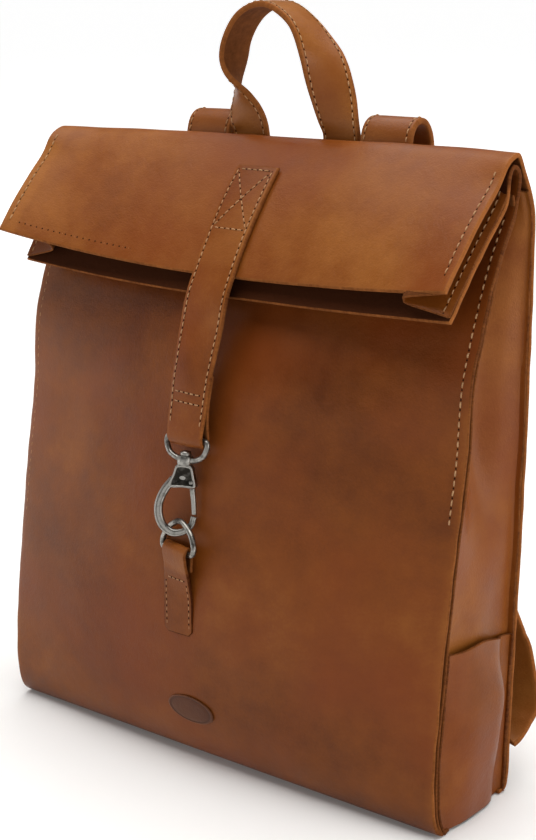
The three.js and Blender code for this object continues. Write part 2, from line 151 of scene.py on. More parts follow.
class Shape:
    """Points, faces, face materials, grain coordinates and tone of one mesh."""

    def __init__(self):
        self.points, self.faces, self.materials, self.grain, self.tone = [], [], [], [], []
        self.count = 0

    def add(self, points, faces, materials=0, grain=None, tone=0.0):
        points = np.asarray(points, float).reshape(-1, 3)
        self.points.append(points)
        self.faces.extend([tuple(int(k) + self.count for k in f) for f in faces])
        self.materials.extend(np.broadcast_to(materials, len(faces)).tolist())
        self.grain.append(points[:, :2] if grain is None else np.asarray(grain, float).reshape(-1, 2))
        self.tone.append(np.broadcast_to(tone, len(points)).astype(float))
        self.count += len(points)
        return self


def grid_faces(rows, columns, close_rows=False, close_columns=False):
    found = []
    for i in range(rows if close_rows else rows - 1):
        for j in range(columns if close_columns else columns - 1):
            a, b = i, (i + 1) % rows
            c, d = j, (j + 1) % columns
            found.append((a * columns + c, b * columns + c, b * columns + d, a * columns + d))
    return found


def closed_tube(rows, around):
    """Faces of rings one after another, with a face over each end."""
    last = (rows - 1) * around
    ends = [tuple(range(around)), tuple(range(last + around - 1, last - 1, -1))]
    return grid_faces(rows, around, False, True) + ends


def normals(grid):
    return unit(np.cross(np.gradient(grid, axis=0), np.gradient(grid, axis=1)))


def border(rows, columns):
    """Indices round a grid's edge, anticlockwise seen from its outer side."""
    index = np.arange(rows * columns).reshape(rows, columns)
    return np.r_[index[:-1, 0], index[-1, :-1], index[:0:-1, -1], index[0, :0:-1]]


ROUNDING = 0.38  # radius of a cut edge, as a share of the leather's thickness


def skin(shape, grid, low, high, patch=0, tone=0.0, edge_tone=0.0):
    """A sheet of leather on a grid of points, with its cut edge rounded off. Its materials are the outer side, the
    inner side and the edge; patch is where on the leather it was cut."""
    rows, columns = grid.shape[:2]
    up = normals(grid)
    out = np.zeros_like(grid)
    out[0] += unit(grid[0] - grid[1])
    out[-1] += unit(grid[-1] - grid[-2])
    out[:, 0] += unit(grid[:, 0] - grid[:, 1])
    out[:, -1] += unit(grid[:, -1] - grid[:, -2])
    low = np.broadcast_to(low, (rows, columns))[..., None]
    high = np.broadcast_to(high, (rows, columns))[..., None]
    radius = (high - low) * ROUNDING
    base = grid - out * radius
    across, along = (
        np.r_[0, np.cumsum(np.linalg.norm(np.diff(grid, axis=k), axis=2).mean(1 - k))] for k in (0, 1)
    )
    mapped = np.stack(np.meshgrid(across + patch, along, indexing="ij"), -1).reshape(-1, 2)
    tone = np.broadcast_to(tone, (rows, columns)).ravel()
    cells = grid_faces(rows, columns)
    start = shape.count
    shape.add(base + up * high, cells, 0, mapped, tone)
    shape.add(base + up * low, [f[::-1] for f in cells], 1, mapped, tone)
    ring = border(rows, columns)
    b, o, n, lo, hi, r = (a.reshape(-1, a.shape[-1])[ring] for a in (base, out, up, low, high, radius))
    turns = np.radians([25, 50, 90])
    loops = [b + o * r * math.sin(a) + n * (hi - r * (1 - math.cos(a))) for a in turns]
    loops += [b + o * r * math.sin(a) + n * (lo + r * (1 - math.cos(a))) for a in turns[::-1]]
    first = ring + start
    for points in loops:
        current = np.arange(len(ring)) + shape.count
        shape.add(points, [], 0, mapped[ring], tone[ring] + edge_tone)
        bridge(shape, first, current)
        first = current
    bridge(shape, first, ring + start + rows * columns)
    return shape


def bridge(shape, upper, lower):
    """Edge faces between two loops of points."""
    corners = np.stack([upper, lower, np.roll(lower, -1), np.roll(upper, -1)], 1)
    shape.faces.extend(tuple(face) for face in corners.tolist())
    shape.materials.extend([2] * len(corners))


def sweep(shape, path, section, up, closed=False, scale=1.0, tone=0.0):
    """A section (pairs: sideways, up) carried along a path; scale is its size, one number or one for each point."""
    if closed:
        way = unit(np.roll(path, -1, 0) - np.roll(path, 1, 0))
    else:
        way = unit(np.gradient(path, axis=0))
    side = unit(np.cross(way, np.broadcast_to(up, path.shape)))
    rise = np.cross(side, way)
    sized = np.asarray(section)[None] * np.broadcast_to(scale, len(path))[:, None, None]
    points = path[:, None] + side[:, None] * sized[..., :1] + rise[:, None] * sized[..., 1:]
    size = len(path), len(section)
    faces = grid_faces(*size, True, True) if closed else closed_tube(*size)
    grain = np.stack(np.meshgrid(lengths(path), lengths(np.vstack([section, section[:1]]))[:-1], indexing="ij"), -1)
    return shape.add(points, faces, 0, grain, tone)


def circle(radius, sides=16, flat=1.0):
    angle = np.linspace(0, 2 * math.pi, sides, endpoint=False)
    return np.stack([radius * np.cos(angle), radius * flat * np.sin(angle)], 1)


def rounded_box(width, height, radius, steps=4):
    """A rectangle with round corners, anticlockwise."""
    inner = np.array([width / 2 - radius, height / 2 - radius])
    found = []
    for corner, begin in (((1, 1), 0), ((-1, 1), 90), ((-1, -1), 180), ((1, -1), 270)):
        for a in np.radians(np.linspace(begin, begin + 90, steps)):
            found.append(inner * corner + radius * np.array([math.cos(a), math.sin(a)]))
    return np.array(found)


def placed(name, data):
    obj = bpy.data.objects.new(name, data)
    bpy.context.scene.collection.objects.link(obj)
    return obj


def make(name, shape, materials, body=None, between=None, replaces=(), slot=None, place=None, smooth_angle=40):
    points = np.vstack(shape.points)
    if place is not None:
        points = points @ place[0].T + place[1]
    mesh = bpy.data.meshes.new(name)
    mesh.from_pydata((points * MM).tolist(), [], shape.faces)
    for material in materials:
        mesh.materials.append(material)
    mesh.polygons.foreach_set("material_index", shape.materials)
    mesh.polygons.foreach_set("use_smooth", [True] * len(mesh.polygons))
    corner = np.zeros(len(mesh.loops), np.int32)
    mesh.loops.foreach_get("vertex_index", corner)
    layer = mesh.uv_layers.new(name="grain")
    layer.data.foreach_set("uv", (np.vstack(shape.grain) * MM)[corner].ravel())
    tone = mesh.attributes.new("tone", "FLOAT", "POINT")
    tone.data.foreach_set("value", np.concatenate(shape.tone).astype(np.float32))
    mesh.update()
    obj = placed(name, mesh)
    mesh.set_sharp_from_angle(angle=math.radians(smooth_angle))
    if between:
        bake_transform(obj)
    else:
        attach(obj, body)
    if replaces:
        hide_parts(*replaces)


def leather_piece(name, shape, *replaced, materials=None, body="bag", **options):
    make(name, shape, materials or LEATHER, body, replaces=replaced, slot="body_leather", **options)


def strap_piece(name, shape, materials, bend, *replaced):
    make(name, shape, materials, between=bend, replaces=replaced, slot="strap_leather")


def metal_piece(name, shape, body, replaced, place, materials=None, **options):
    make(name, shape, materials or METAL, body, replaces=(replaced,), slot="antique_silver", place=place, **options)


# ---- materials ----


def feed(tree, made, inputs):
    """Fill a node's inputs, by a link where the value is a socket."""
    for key, value in inputs.items():
        if isinstance(value, bpy.types.NodeSocket):
            tree.links.new(value, made.inputs[key])
        else:
            made.inputs[key].default_value = value
    return made


def node(tree, kind, inputs=None, **settings):
    made = tree.nodes.new("ShaderNode" + kind)
    for key, value in settings.items():
        setattr(made, key, value)
    return feed(tree, made, inputs or {})


def noise(tree, at, scale, detail=3.0, roughness=0.55):
    inputs = {"Vector": at, "Scale": scale, "Detail": detail, "Roughness": roughness}
    return node(tree, "TexNoise", inputs).outputs["Fac"]


def weighted(tree, sources, total=0.0):
    """A constant plus each source times its weight."""
    for source, weight in sources:
        total = node(tree, "Math", {0: source, 1: weight, 2: total}, operation="MULTIPLY_ADD").outputs[0]
    return total


def map_range(tree, value, low, high, to_low, to_high, **settings):
    inputs = {"Value": value, "From Min": low, "From Max": high, "To Min": to_low, "To Max": to_high}
    return node(tree, "MapRange", inputs, **settings).outputs[0]


def bump(tree, height, strength, distance, **below):
    return node(tree, "Bump", {"Height": height, "Strength": strength, "Distance": distance, **below}).outputs[0]


def ramp(tree, factor, stops):
    made = node(tree, "ValToRGB", {"Fac": factor})
    elements = made.color_ramp.elements
    while len(elements) < len(stops):
        elements.new(0.5)
    for element, (position, colour) in zip(elements, stops):
        element.position = position
        element.color = (*colour, 1)
    return made.outputs["Color"]


def new_material(name):
    material = bpy.data.materials.new(name)
    material.use_nodes = True
    tree = material.node_tree
    return material, tree, next(n for n in tree.nodes if n.type == "BSDF_PRINCIPLED")


def grain_of(tree):
    return node(tree, "UVMap", uv_map="grain").outputs["UV"]


def tone_of(tree):
    return node(tree, "Attribute", attribute_name="tone").outputs["Fac"]


TONE_WEIGHT = 0.5
MOTTLE_LEVEL = -0.215  # brings the mean of the mottling to the middle of its ramp
LEATHER_ROUGH = 0.37


def leather(name, dark, base, light, red):
    """Oiled leather: mottled colour with redder patches, pores and fine creases."""
    material, tree, shader = new_material(name)
    at = grain_of(tree)
    middle = noise(tree, at, 75, 4, 0.6)
    mottling = [(noise(tree, at, 13), 0.85), (middle, 0.4), (noise(tree, at, 620, 3, 0.6), 0.18)]
    total = weighted(tree, [*mottling, (tone_of(tree), TONE_WEIGHT)], MOTTLE_LEVEL)
    colour = ramp(tree, total, [(0.0, dark), (0.5, base), (1.0, light)])
    patches = map_range(tree, noise(tree, at, 8.5, 2), 0.45, 0.65, 0.0, 0.6)
    pores = node(tree, "TexVoronoi", {"Vector": at, "Scale": 1150.0}, feature="SMOOTH_F1").outputs["Distance"]
    creases = noise(tree, at, 210, 5, 0.65)
    feed(tree, shader, {
        "Base Color": node(tree, "Mix", {0: patches, 6: colour, 7: (*red, 1)}, data_type="RGBA").outputs[2],
        "Roughness": map_range(tree, middle, 0.25, 0.75, LEATHER_ROUGH - 0.06, LEATHER_ROUGH + 0.08),
        "Normal": bump(tree, creases, 0.22, 0.0009, Normal=bump(tree, pores, 0.16, 0.0005)),
        "Specular IOR Level": 0.15,
    })
    return material


def rough_leather(name, dark, light, scale=420.0, roughness=0.85, strength=0.6):
    """Cut edges and flesh sides: matt and fibrous."""
    material, tree, shader = new_material(name)
    at = grain_of(tree)
    fibres = noise(tree, at, scale, 5, 0.7)
    total = weighted(tree, [(fibres, 0.6), (noise(tree, at, 60), 0.4), (tone_of(tree), TONE_WEIGHT)])
    feed(tree, shader, {
        "Base Color": ramp(tree, total, [(0.25, dark), (0.75, light)]),
        "Roughness": roughness,
        "Normal": bump(tree, fibres, strength, 0.0006),
        "Specular IOR Level": 0.06,
    })
    return material


def metal(name, dark, light, roughness=0.28):
    """Antique silver: dark in its patina, bright where it rubs."""
    material, tree, shader = new_material(name)
    at = node(tree, "TexCoord").outputs["Object"]
    patina = noise(tree, at, 260, 5, 0.65)
    total = weighted(tree, [(patina, 1.0), (tone_of(tree), TONE_WEIGHT)])
    feed(tree, shader, {
        "Base Color": ramp(tree, total, [(0.3, dark), (0.6, light)]),
        "Metallic": 1.0,
        "Roughness": map_range(tree, patina, 0.3, 0.7, roughness + 0.14, roughness - 0.05),
        "Normal": bump(tree, noise(tree, at, 900), 0.15, 0.0003),
    })
    return material


def thread_material(name, dark, light):
    material, tree, shader = new_material(name)
    at = grain_of(tree)
    twist = node(tree, "TexWave", {"Vector": at, "Scale": 900.0, "Distortion": 1.5}, bands_direction="DIAGONAL")
    total = weighted(tree, [(twist.outputs["Fac"], 0.5), (noise(tree, at, 90), 0.5)])
    feed(tree, shader, {"Base Color": ramp(tree, total, [(0.2, dark), (0.75, light)]), "Roughness": 0.7})
    return material


BODY = leather("body_leather", (0.064, 0.0135, 0.0017), (0.178, 0.048, 0.006),
               (0.31, 0.113, 0.020), (0.166, 0.033, 0.0047))
STRAP = leather("strap_leather", (0.072, 0.0185, 0.003), (0.192, 0.062, 0.0105),
                (0.33, 0.134, 0.03), (0.178, 0.042, 0.008))
EDGE = rough_leather("cut_edge", (0.055, 0.013, 0.003), (0.26, 0.088, 0.022))
FLESH = rough_leather("flesh_side", (0.042, 0.011, 0.0028), (0.17, 0.055, 0.014), 260.0, 0.9)
LINING = rough_leather("lining_leather", (0.06, 0.022, 0.009), (0.13, 0.05, 0.02), 300.0, 0.8, 0.4)
BADGE = leather("badge_leather", (0.04, 0.012, 0.005), (0.082, 0.027, 0.011),
                (0.15, 0.055, 0.022), (0.08, 0.022, 0.009))
SILVER = metal("antique_silver", (0.03, 0.027, 0.023), (0.3, 0.29, 0.268))
DARK_SILVER = metal("silver_patina", (0.02, 0.018, 0.015), (0.12, 0.112, 0.1), 0.4)
THREAD = thread_material("thread", (0.20, 0.085, 0.03), (0.50, 0.29, 0.13))
# Painted shade: the near-black marks that stand for needle holes and the strap's prong holes.
HOLE_SHADE = rough_leather("painted_hole_shade", (0.012, 0.004, 0.002), (0.035, 0.010, 0.003))

LEATHER = (BODY, FLESH, EDGE)
STRAPPING = (STRAP, STRAP, EDGE)
SEWN = (THREAD, HOLE_SHADE)
METAL = (SILVER, DARK_SILVER)

# ---- stitches ----


def sew(shape, line, up, pitch=PITCH, length=3.1, width=0.85, holes=True, lift=0.12, seed=0):
    """A row of stitches along a line on a surface, with a needle hole, drawn as a dark mark of painted shade, between
    each two.
    """
    rng = np.random.default_rng(seed)
    track = track_of(line, np.broadcast_to(up, line.shape))
    total = track[0][-1]
    for k in range(int((total - length) / pitch + 0.5)):
        middle = (k + 0.5) * pitch + length / 2
        if middle + length / 2 > total:
            break
        slant = rng.uniform(-0.1, 0.22)
        size = width * rng.uniform(0.85, 1.12)
        bead(shape, track, middle, length * rng.uniform(0.9, 1.05), size, 0.75, lift, slant)
        if holes:
            # The needle hole: a dark mark of painted shade.
            bead(shape, track, middle + pitch / 2, 1.1, 0.95, 0.3, slot=1)


def track_of(line, up):
    """A line's lengths, points, outward directions and ways on, for its beads."""
    return lengths(line), line, up, np.gradient(line, axis=0)


SWELL = np.array([0.35, 0.85, 1.0, 0.85, 0.35])  # a bead's width at its five stations
SINK = np.array([-0.55, 0.1, 0.35, 0.1, -0.55])  # and its height


def bead(shape, track, middle, length, width, flat, lift=0.0, slant=0.0, slot=0):
    """A stitch or a hole (a dark mark of painted shade): a short round body that sinks into the leather at both ends.
    """
    s, *fields = track
    stations = np.array([-0.5, -0.36, 0.0, 0.36, 0.5])
    where = middle + stations * length
    centre, n, t = (np.stack([np.interp(where, s, field[:, k]) for k in range(3)], 1) for field in fields)
    n = unit(n)
    side = unit(np.cross(unit(t), n))
    rise = SINK * width * flat + lift
    centre = centre + n * rise[:, None] + side * (stations * slant * length * 0.5)[:, None]
    angle = np.linspace(0, 2 * math.pi, 6, endpoint=False)
    ring = (
        side[:, None] * (np.cos(angle)[None, :, None] * (SWELL * width / 2)[:, None, None])
        + n[:, None] * (np.sin(angle)[None, :, None] * (SWELL * width * flat / 2)[:, None, None])
    )
    flow = np.stack(np.meshgrid(where, angle * width / 2, indexing="ij"), -1)
    shape.add(centre[:, None] + ring, closed_tube(5, 6), slot, flow)


def on_grid(grid, rows, columns, lift=0.0):
    """Points and outward directions of a grid at fractional row and column positions."""
    rows, columns = np.broadcast_arrays(rows, columns)
    i = np.clip(np.floor(rows).astype(int), 0, grid.shape[0] - 2)
    j = np.clip(np.floor(columns).astype(int), 0, grid.shape[1] - 2)
    a, b = (rows - i)[:, None], (columns - j)[:, None]

    def between(g):
        return lerp(lerp(g[i, j], g[i + 1, j], a), lerp(g[i, j + 1], g[i + 1, j + 1], a), b)

    n = unit(between(normals(grid)))
    return between(grid) + n * lift, n


def sew_between(shape, grid, a, b, high=0.0, stations=60, **options):
    """Stitches between two places on a grid, each a pair of shares of its rows and columns."""
    share = np.linspace(0, 1, stations)
    rows, count = grid.shape[0] - 1, grid.shape[1] - 1
    line, n = on_grid(grid, lerp(a[0], b[0], share) * rows, lerp(a[1], b[1], share) * count, high)
    sew(shape, line, n, **options)


def edge_rows(shape, grid, inset, high, begin=0.0, finish=1.0, **options):
    """Stitches along both edges of a strap's grid."""
    wide = np.linalg.norm(grid[-1] - grid[0], axis=1).mean()
    for share in (inset / wide, 1 - inset / wide):
        sew_between(shape, grid, (share, begin), (share, finish), high, 300, **options)


# ---- the body's lines ----

front_line = spline(
    [(-33, 0), (-39, 14), (-39.5, 40), (-34, 84), (-28.5, 118), (-21.5, 158), (-12.5, 205), (-9.5, 240),
     (9.5, 290), (27, 319)], 40
)
middle_line = spline(
    [(-33, 0), (-43.5, 14), (-51.5, 40), (-55, 80), (-53.5, 105), (-50.4, 125), (-43.9, 150), (-35, 190),
     (-26.5, 225), (-15, 250), (7.5, 290), (27, 319)], 40
)
back_line = spline([(36, 0), (40, 60), (45, 150), (48.5, 230), (50, 300), (48.5, 334), (44.5, 343.5)], 40)


def front_y(z):
    return np.interp(z, front_line[:, 1], front_line[:, 0])


def back_y(z):
    return np.interp(z, back_line[:, 1], back_line[:, 0])


def bulge(x, z):
    """How far the front stands out from its seams, at x and z."""
    depth = front_y(z) - np.interp(z, middle_line[:, 1], middle_line[:, 0])
    across = np.cos(math.pi * np.clip(x, -HALF, HALF) / (2 * HALF))
    return depth * np.maximum(across, 0) ** 0.8


def quadratic(start, middle, end, t):
    t = np.asarray(t)[:, None]
    return (1 - t) ** 2 * start + 2 * t * (1 - t) * middle + t**2 * end


def flap_line(x, t):
    """The flap's outer face at x, from the crest (t 0) to its edge (t 1), as pairs y, z."""
    end = (x / HALF) ** 2
    out, rise = (15, 9.5) if x > 0 else (6, 13)
    start = np.array([37.8, 351.0])
    edge = np.array([-21 - out * end, 281 + rise * end])
    return quadratic(start, lerp(start, edge, 0.42) + (-5, 9), edge, t)


def lip_line(x, t):
    """The upper face of the front hide's folded end."""
    end = (x / HALF) ** 2
    out = 12 if x > 0 else -5
    start = np.array([30.5, 335.5])
    edge = np.array([-19.5 - out * end, 269.5 + 5.5 * end])
    return quadratic(start, lerp(start, edge, 0.5) + (-1.5, 2), edge, t)


def away_from_seams(grid):
    return smooth((HALF - np.abs(grid[..., 0])) / 30) * smooth(grid[..., 2] / 25)


def weather(grid, loose, seed, *dents):
    """Dents over a hide where it is loose, from pairs depth, size; and both its cut edges wander slightly."""
    depth = sum(deep * ripple(grid, size, seed + k) for k, (deep, size) in enumerate(dents))
    grid = grid + normals(grid) * (depth * loose)[..., None]
    grid[..., 0] += 0.35 * ripple(grid, 22, seed + 2) * (np.abs(grid[..., 0]) > HALF - 3)
    return grid


def dented(grid, depth, size, seed, where=1.0):
    """The grid with soft dents of about the given size; where is their share at each point."""
    return grid + normals(grid) * (depth * ripple(grid, size, seed) * where)[..., None]


def slump(grid):
    """The rolled top rounds over towards both of its ends."""
    end = (np.abs(grid[..., 0]) / HALF) ** 5
    grid[..., 1] -= 9.5 * end * smooth((grid[..., 2] - 316) / 32) * smooth((grid[..., 1] - 6) / 26)
    return grid


def offset(line, distance):
    """A y-z line moved to the left of its direction."""
    way = unit(np.gradient(line, axis=0))
    return line + np.stack([-way[:, 1], way[:, 0]], 1) * distance


def columns(xs, profile, shares):
    """A grid from one y-z profile for each x."""
    return np.array([np.column_stack([np.full(len(shares), x), at_shares(profile(x), shares)]) for x in xs])


# ---- front hide, with its end folded over as the lip ----


LIP_FROM = 0.82  # the share of the hide's length at which it has folded over


def front_profile(x):
    z = np.array([6, 14, 26, 42, 62, 84, 108, 132, 156, 180, 202, 222, 240, 256, 272, 288, 303, 315])
    face = np.column_stack([front_y(z) - bulge(x, z), z])
    roll = [(-24, 0.4), (-28.5, 0.4), (-32.2, 1.6)]
    turn = [(31.0, 325.5), (36.0, 333.2), (38.8, 338.4), (37.6, 342.0), (33.6, 340.4)]
    lip = offset(lip_line(x, np.linspace(0, 1, 40)), HIDE)[[5, 12, 20, 28, 34, 39]]
    return spline(np.vstack([roll, face, turn, lip]), 12)


def make_front():
    shares = bend_shares(front_profile(0.0), 190)
    grid = slump(columns(edge_spaced(HALF, 111), front_profile, shares))
    z = grid[..., 2]
    loose = away_from_seams(grid) * smooth((330 - z) / 60)
    grid = weather(grid, loose, 3, (0.55, 95), (0.22, 38))
    rub = smooth((np.abs(grid[..., 0]) - HALF + 6) / 6) * 0.35
    folded = smooth((np.linspace(0, 1, grid.shape[1]) - LIP_FROM) / 0.03)[None]
    # Painted shadow under the flap: the front darkens towards its top, and more so towards the right.
    painted_flap_shadow = smooth((z - 190) / 70) * smooth((grid[..., 0] + 150) / 90)
    # Painted highlight: a bright band, broken up by noise, where the front rolls under at its foot.
    roll = np.exp(-(((z - 24) / 9) ** 2)) * (0.6 + 0.4 * ripple(grid, 60, 6))
    # Paler rubbed side edges; painted shade over the whole front, and more below 13 mm on the underside of the roll.
    tone = rub - 0.2 - 0.3 * smooth((13 - z) / 10) + 0.3 * roll
    # Painted shade darkens the folded lip where it tucks in under the flap; its cut edge is lightened back by
    # edge_tone.
    tone = tone - 0.38 * painted_flap_shadow * (1 - folded) - folded * (0.95 - 0.25 * rub)
    edge_tone = 1.15 * np.broadcast_to(folded, z.shape).ravel()[border(*z.shape)]
    shape = skin(Shape(), grid, -HIDE, 0, 500, tone, edge_tone)
    bend = ("bag", "folded_top", *turn_points(157.2, 160.5))
    leather_piece("front_hide", shape, "front_panel", "flap_lip", between=bend)
    return grid


def turn_points(a, b):
    """Two points on the line that crosses the front hide's turn, at these distances along it."""
    way = Vector((0, -0.829, 0.559))
    centre = Vector((0, 33.0, 332.0))
    at = centre.dot(way)
    return centre + way * (a - at), centre + way * (b - at)


# ---- back hide, with its end folded over as the flap ----


def back_profile(x):
    low = [(27, 0.5), (32, 0.5), (35.4, 2.4), (36.6, 8)]
    z = np.array([25, 60, 105, 150, 190, 230, 268, 300, 322])
    face = np.column_stack([back_y(z), z])
    crest = [(48.8, 333), (47.1, 341), (44.4, 347), (40.4, 350.4)]
    flap = flap_line(x, np.array([0.06, 0.16, 0.3, 0.46, 0.62, 0.78, 0.9, 1.0]))
    return spline(np.vstack([low, face, crest, flap]), 12)


def make_back():
    shares = bend_shares(back_profile(0.0), 170)
    grid = slump(columns(edge_spaced(HALF, 111)[::-1], back_profile, shares))
    z = grid[..., 2]
    y = grid[..., 1]
    loose = away_from_seams(grid) * (1 - 0.85 * np.exp(-((grid[..., 0] / 24) ** 2)))
    grid = weather(grid, loose, 13, (0.5, 100), (0.2, 40))
    # Painted light: the flap, which faces upwards, is made lighter than the back below it.
    painted_flap_light = smooth((40 - y) / 12) * smooth((z - 200) / 20)
    grid[..., 0] -= 9.5 * smooth((46 - y) / 8) * smooth((z - 260) / 20) * smooth(-grid[..., 0] / HALF)
    rub = smooth((np.abs(grid[..., 0]) - HALF + 5) / 5) * 0.3
    shape = skin(Shape(), grid, -HIDE, 0, 0, 0.16 * painted_flap_light + rub)
    bend = ("bag", "folded_top", (0, 44.5, 344.0), (0, 37.5, 348.5))
    leather_piece("back_hide", shape, "back_panel", "flap", between=bend)
    return grid


# ---- gussets, pockets and base ----


def gusset_row(z):
    """The gusset's outer face at one height, as pairs x, y from the front seam to the back seam."""
    front = front_y(z) + HIDE * 1.2 + GUSSET + 0.15
    back = back_y(z) - HIDE - GUSSET - 0.15
    apart = back - front
    fold = min(14.0, math.sqrt(max(0.0, 41.0**2 - (apart / 2) ** 2))) * float(smooth((z - 120) / 90))
    full = 1.6 * (1 - float(smooth((z - 90) / 60)))
    middle = 151.2 - fold + full
    near = 151.0 - 0.35 * fold
    wall = [(x, lerp(front, back, k)) for x, k in ((near, 0.2), (middle, 0.42), (middle, 0.58), (near, 0.8))]
    front_flange = [(154.6, front), (152.6, front + 0.05), (150.9, front + 1.3)]
    return spline([*front_flange, *wall, (150.9, back - 1.3), (152.6, back - 0.05), (154.6, back)], 8)


def rows_of(heights, row, shares):
    """A grid from one x-y line for each height; rows run from front to back."""
    found = [np.column_stack([at_shares(row(z), shares), np.full(len(shares), z)]) for z in heights]
    return np.array(found).transpose(1, 0, 2)


def sided(grid, side):
    """The grid itself on the right, or its mirror image on the left, turned to face outwards again."""
    if side > 0:
        return grid
    flipped = grid[::-1].copy()
    flipped[..., 0] *= -1
    return flipped


def pocket_row(z):
    share = z / 100.0
    front = front_y(z) + HIDE * 1.2 + 2 * GUSSET + 0.4
    back = back_y(z) - HIDE - 2 * GUSSET - 0.4
    full = (9.5 - 5.3 * float(smooth((share - 0.62) / 0.36))) * math.sqrt(min(1.0, max(0.0, 0.1 + share * 1.6)))
    u = [0.06, 0.15, 0.3, 0.5, 0.66, 0.76, 0.83]
    out = [0.3, 0.66, 1.0, 1.12, 1.12, 0.86, 0.3]
    wall = [(153.0 + full * o, lerp(front, back, k)) for k, o in zip(u, out)]
    back_flange = [(152.9, lerp(front, back, 0.9)), (153.4, back), (155.2, back)]
    return spline([(155.2, front), (153.6, front + 0.05), *wall, *back_flange], 8)


def make_gusset(side, name):
    heights = np.r_[np.linspace(1.2, 300, 76), np.linspace(303, 330, 12)]
    grid = slump(rows_of(heights, gusset_row, np.linspace(0, 1, 46)))
    grid[..., 0] += 0.4 * ripple(grid, 45, 21 + side)
    # Tone 0.22 is painted light: it makes the gussets lighter than the front. Their cut edges are darker (-0.35).
    shape = skin(Shape(), sided(grid, side), -GUSSET, 0, 1100, 0.22, -0.35)
    leather_piece(f"{name}_gusset_hide", shape, f"{name}_gusset")


def make_side_pocket(side, name):
    low = 1.2
    shares = np.linspace(0, 1, 44)
    climb = np.linspace(0, 1, 40)
    grid = rows_of(low + climb * 96, pocket_row, shares)
    rim = lerp(101, 92, shares) + 2 * np.sin(math.pi * shares) - 0.8 * np.sin(3 * math.pi * shares)
    grid[..., 2] = low + climb[None] * (rim[:, None] - low)
    bumps = 0.8 * ripple(grid, 34, 31 + side) * smooth(grid[..., 2] / 20)
    grid[..., 0] += bumps * smooth((grid[..., 0] - 153.4) / 3)
    grid = sided(grid, side)
    rim_tone = smooth((grid[..., 2] - 93) / 6) * 0.12 - 0.12
    shape = skin(Shape(), grid, -GUSSET, 0, 1300, rim_tone, -0.15)
    leather_piece(f"{name}_pocket_hide", shape, f"{name}_side_pocket")


def make_base():
    x = edge_spaced(152.5, 41, 50)
    y = np.linspace(-30.5, 33, 15)
    grid = np.array([[(a, b, 0.0) for b in y] for a in x])
    inset = smooth((152.5 - np.abs(grid[..., 0])) / 14)
    grid[..., 2] = 0.5 + 0.4 * ripple(grid, 70, 41) * inset
    shape = skin(Shape(), grid, 0, HIDE - 0.6, 1500, -0.2)
    leather_piece("base_hide", shape, "base_panel", materials=(FLESH, BODY, EDGE))


def make_inner_pocket():
    thick = 1.3
    z = np.linspace(90, 250, 23)
    found = []
    for u in np.linspace(0, 1, 31):
        full = 9 * math.sin(math.pi * u) * np.sqrt((z - 90) / 160)
        found.append(np.column_stack([np.full(len(z), (u - 0.5) * 230), back_y(z) - HIDE - thick - 1 - full, z]))
    grid = np.array(found)
    grid[..., 1] += 0.5 * ripple(grid, 50, 43)
    shape = skin(Shape(), grid, -thick, 0, 1700)
    thread = Shape()
    for row in (2.2 / 30, 28.8 / 30):
        sew_between(thread, grid, (row, 0.5 / 22), (row, 21.5 / 22), seed=44)
    make("inner_pocket_hide", shape, (LINING, LINING, EDGE), "bag", replaces=("inner_pocket",), slot="lining_leather")
    make("inner_pocket_stitches", thread, SEWN, "bag")


def make_flap_gusset(side, name):
    """The gusset inside the folded top: a flange on the flap, a flange on the lip and a fold between them."""
    along = np.linspace(0, 1, 80)
    shares = np.linspace(0.06, 0.985, 34)
    above = at_shares(offset(flap_line(side * HALF, along), HIDE + 0.15), shares)
    below = at_shares(lip_line(side * HALF, along), shares)
    found = []
    for t, a, b in zip(shares, above, below):
        way = unit(b - a)
        depth = min(25.0, 6 + 1.3 * np.linalg.norm(b - a)) * (1 - 0.12 * t)
        upper = a + way * (GUSSET * 0.8)
        lower = b - way * (GUSSET * 0.8 + 0.3)
        middle = (upper + lower) / 2
        row, other = (
            [(154.4, *at), (152, *at), (149.5, *(at + inward * 0.7)), (153 - depth, *lerp(at, middle, 0.7))]
            for at, inward in ((upper, way), (lower, -way))
        )
        row += [(151 - depth, *middle), *other[::-1]]
        found.append(curve(row, 34, 8))
    grid = sided(slump(np.array(found).transpose(1, 0, 2)[::-1]), side)
    shape = skin(Shape(), grid, -1.25, 0, 1900, -0.15)
    leather_piece(f"{name}_flap_gusset_hide", shape, f"{name}_flap_gusset", body="folded_top")


# ---- seams of the hides ----


def row_at(grid, x):
    """The share of a hide's rows at x."""
    found = grid[:, 0, 0]
    order = np.argsort(found)
    return float(np.interp(x, found[order], order.astype(float))) / (len(found) - 1)


def share_at(grid, z, falling=False):
    """The share of a hide's columns at which it reaches a height, on its way up or on its way down again."""
    heights = grid[grid.shape[0] // 2, :, 2]
    last = len(heights) - 1
    top = int(np.argmax(heights))
    if falling:
        return 1 - float(np.interp(z, heights[:top:-1], np.arange(last - top))) / last
    return float(np.interp(z, heights[: top + 1], np.arange(top + 1))) / last


def seam(shape, grid, x, begin, finish, **options):
    """Stitches at x along a hide, between two shares of its columns."""
    row = row_at(grid, x)
    sew_between(shape, grid, (row, begin), (row, finish), stations=260, **options)


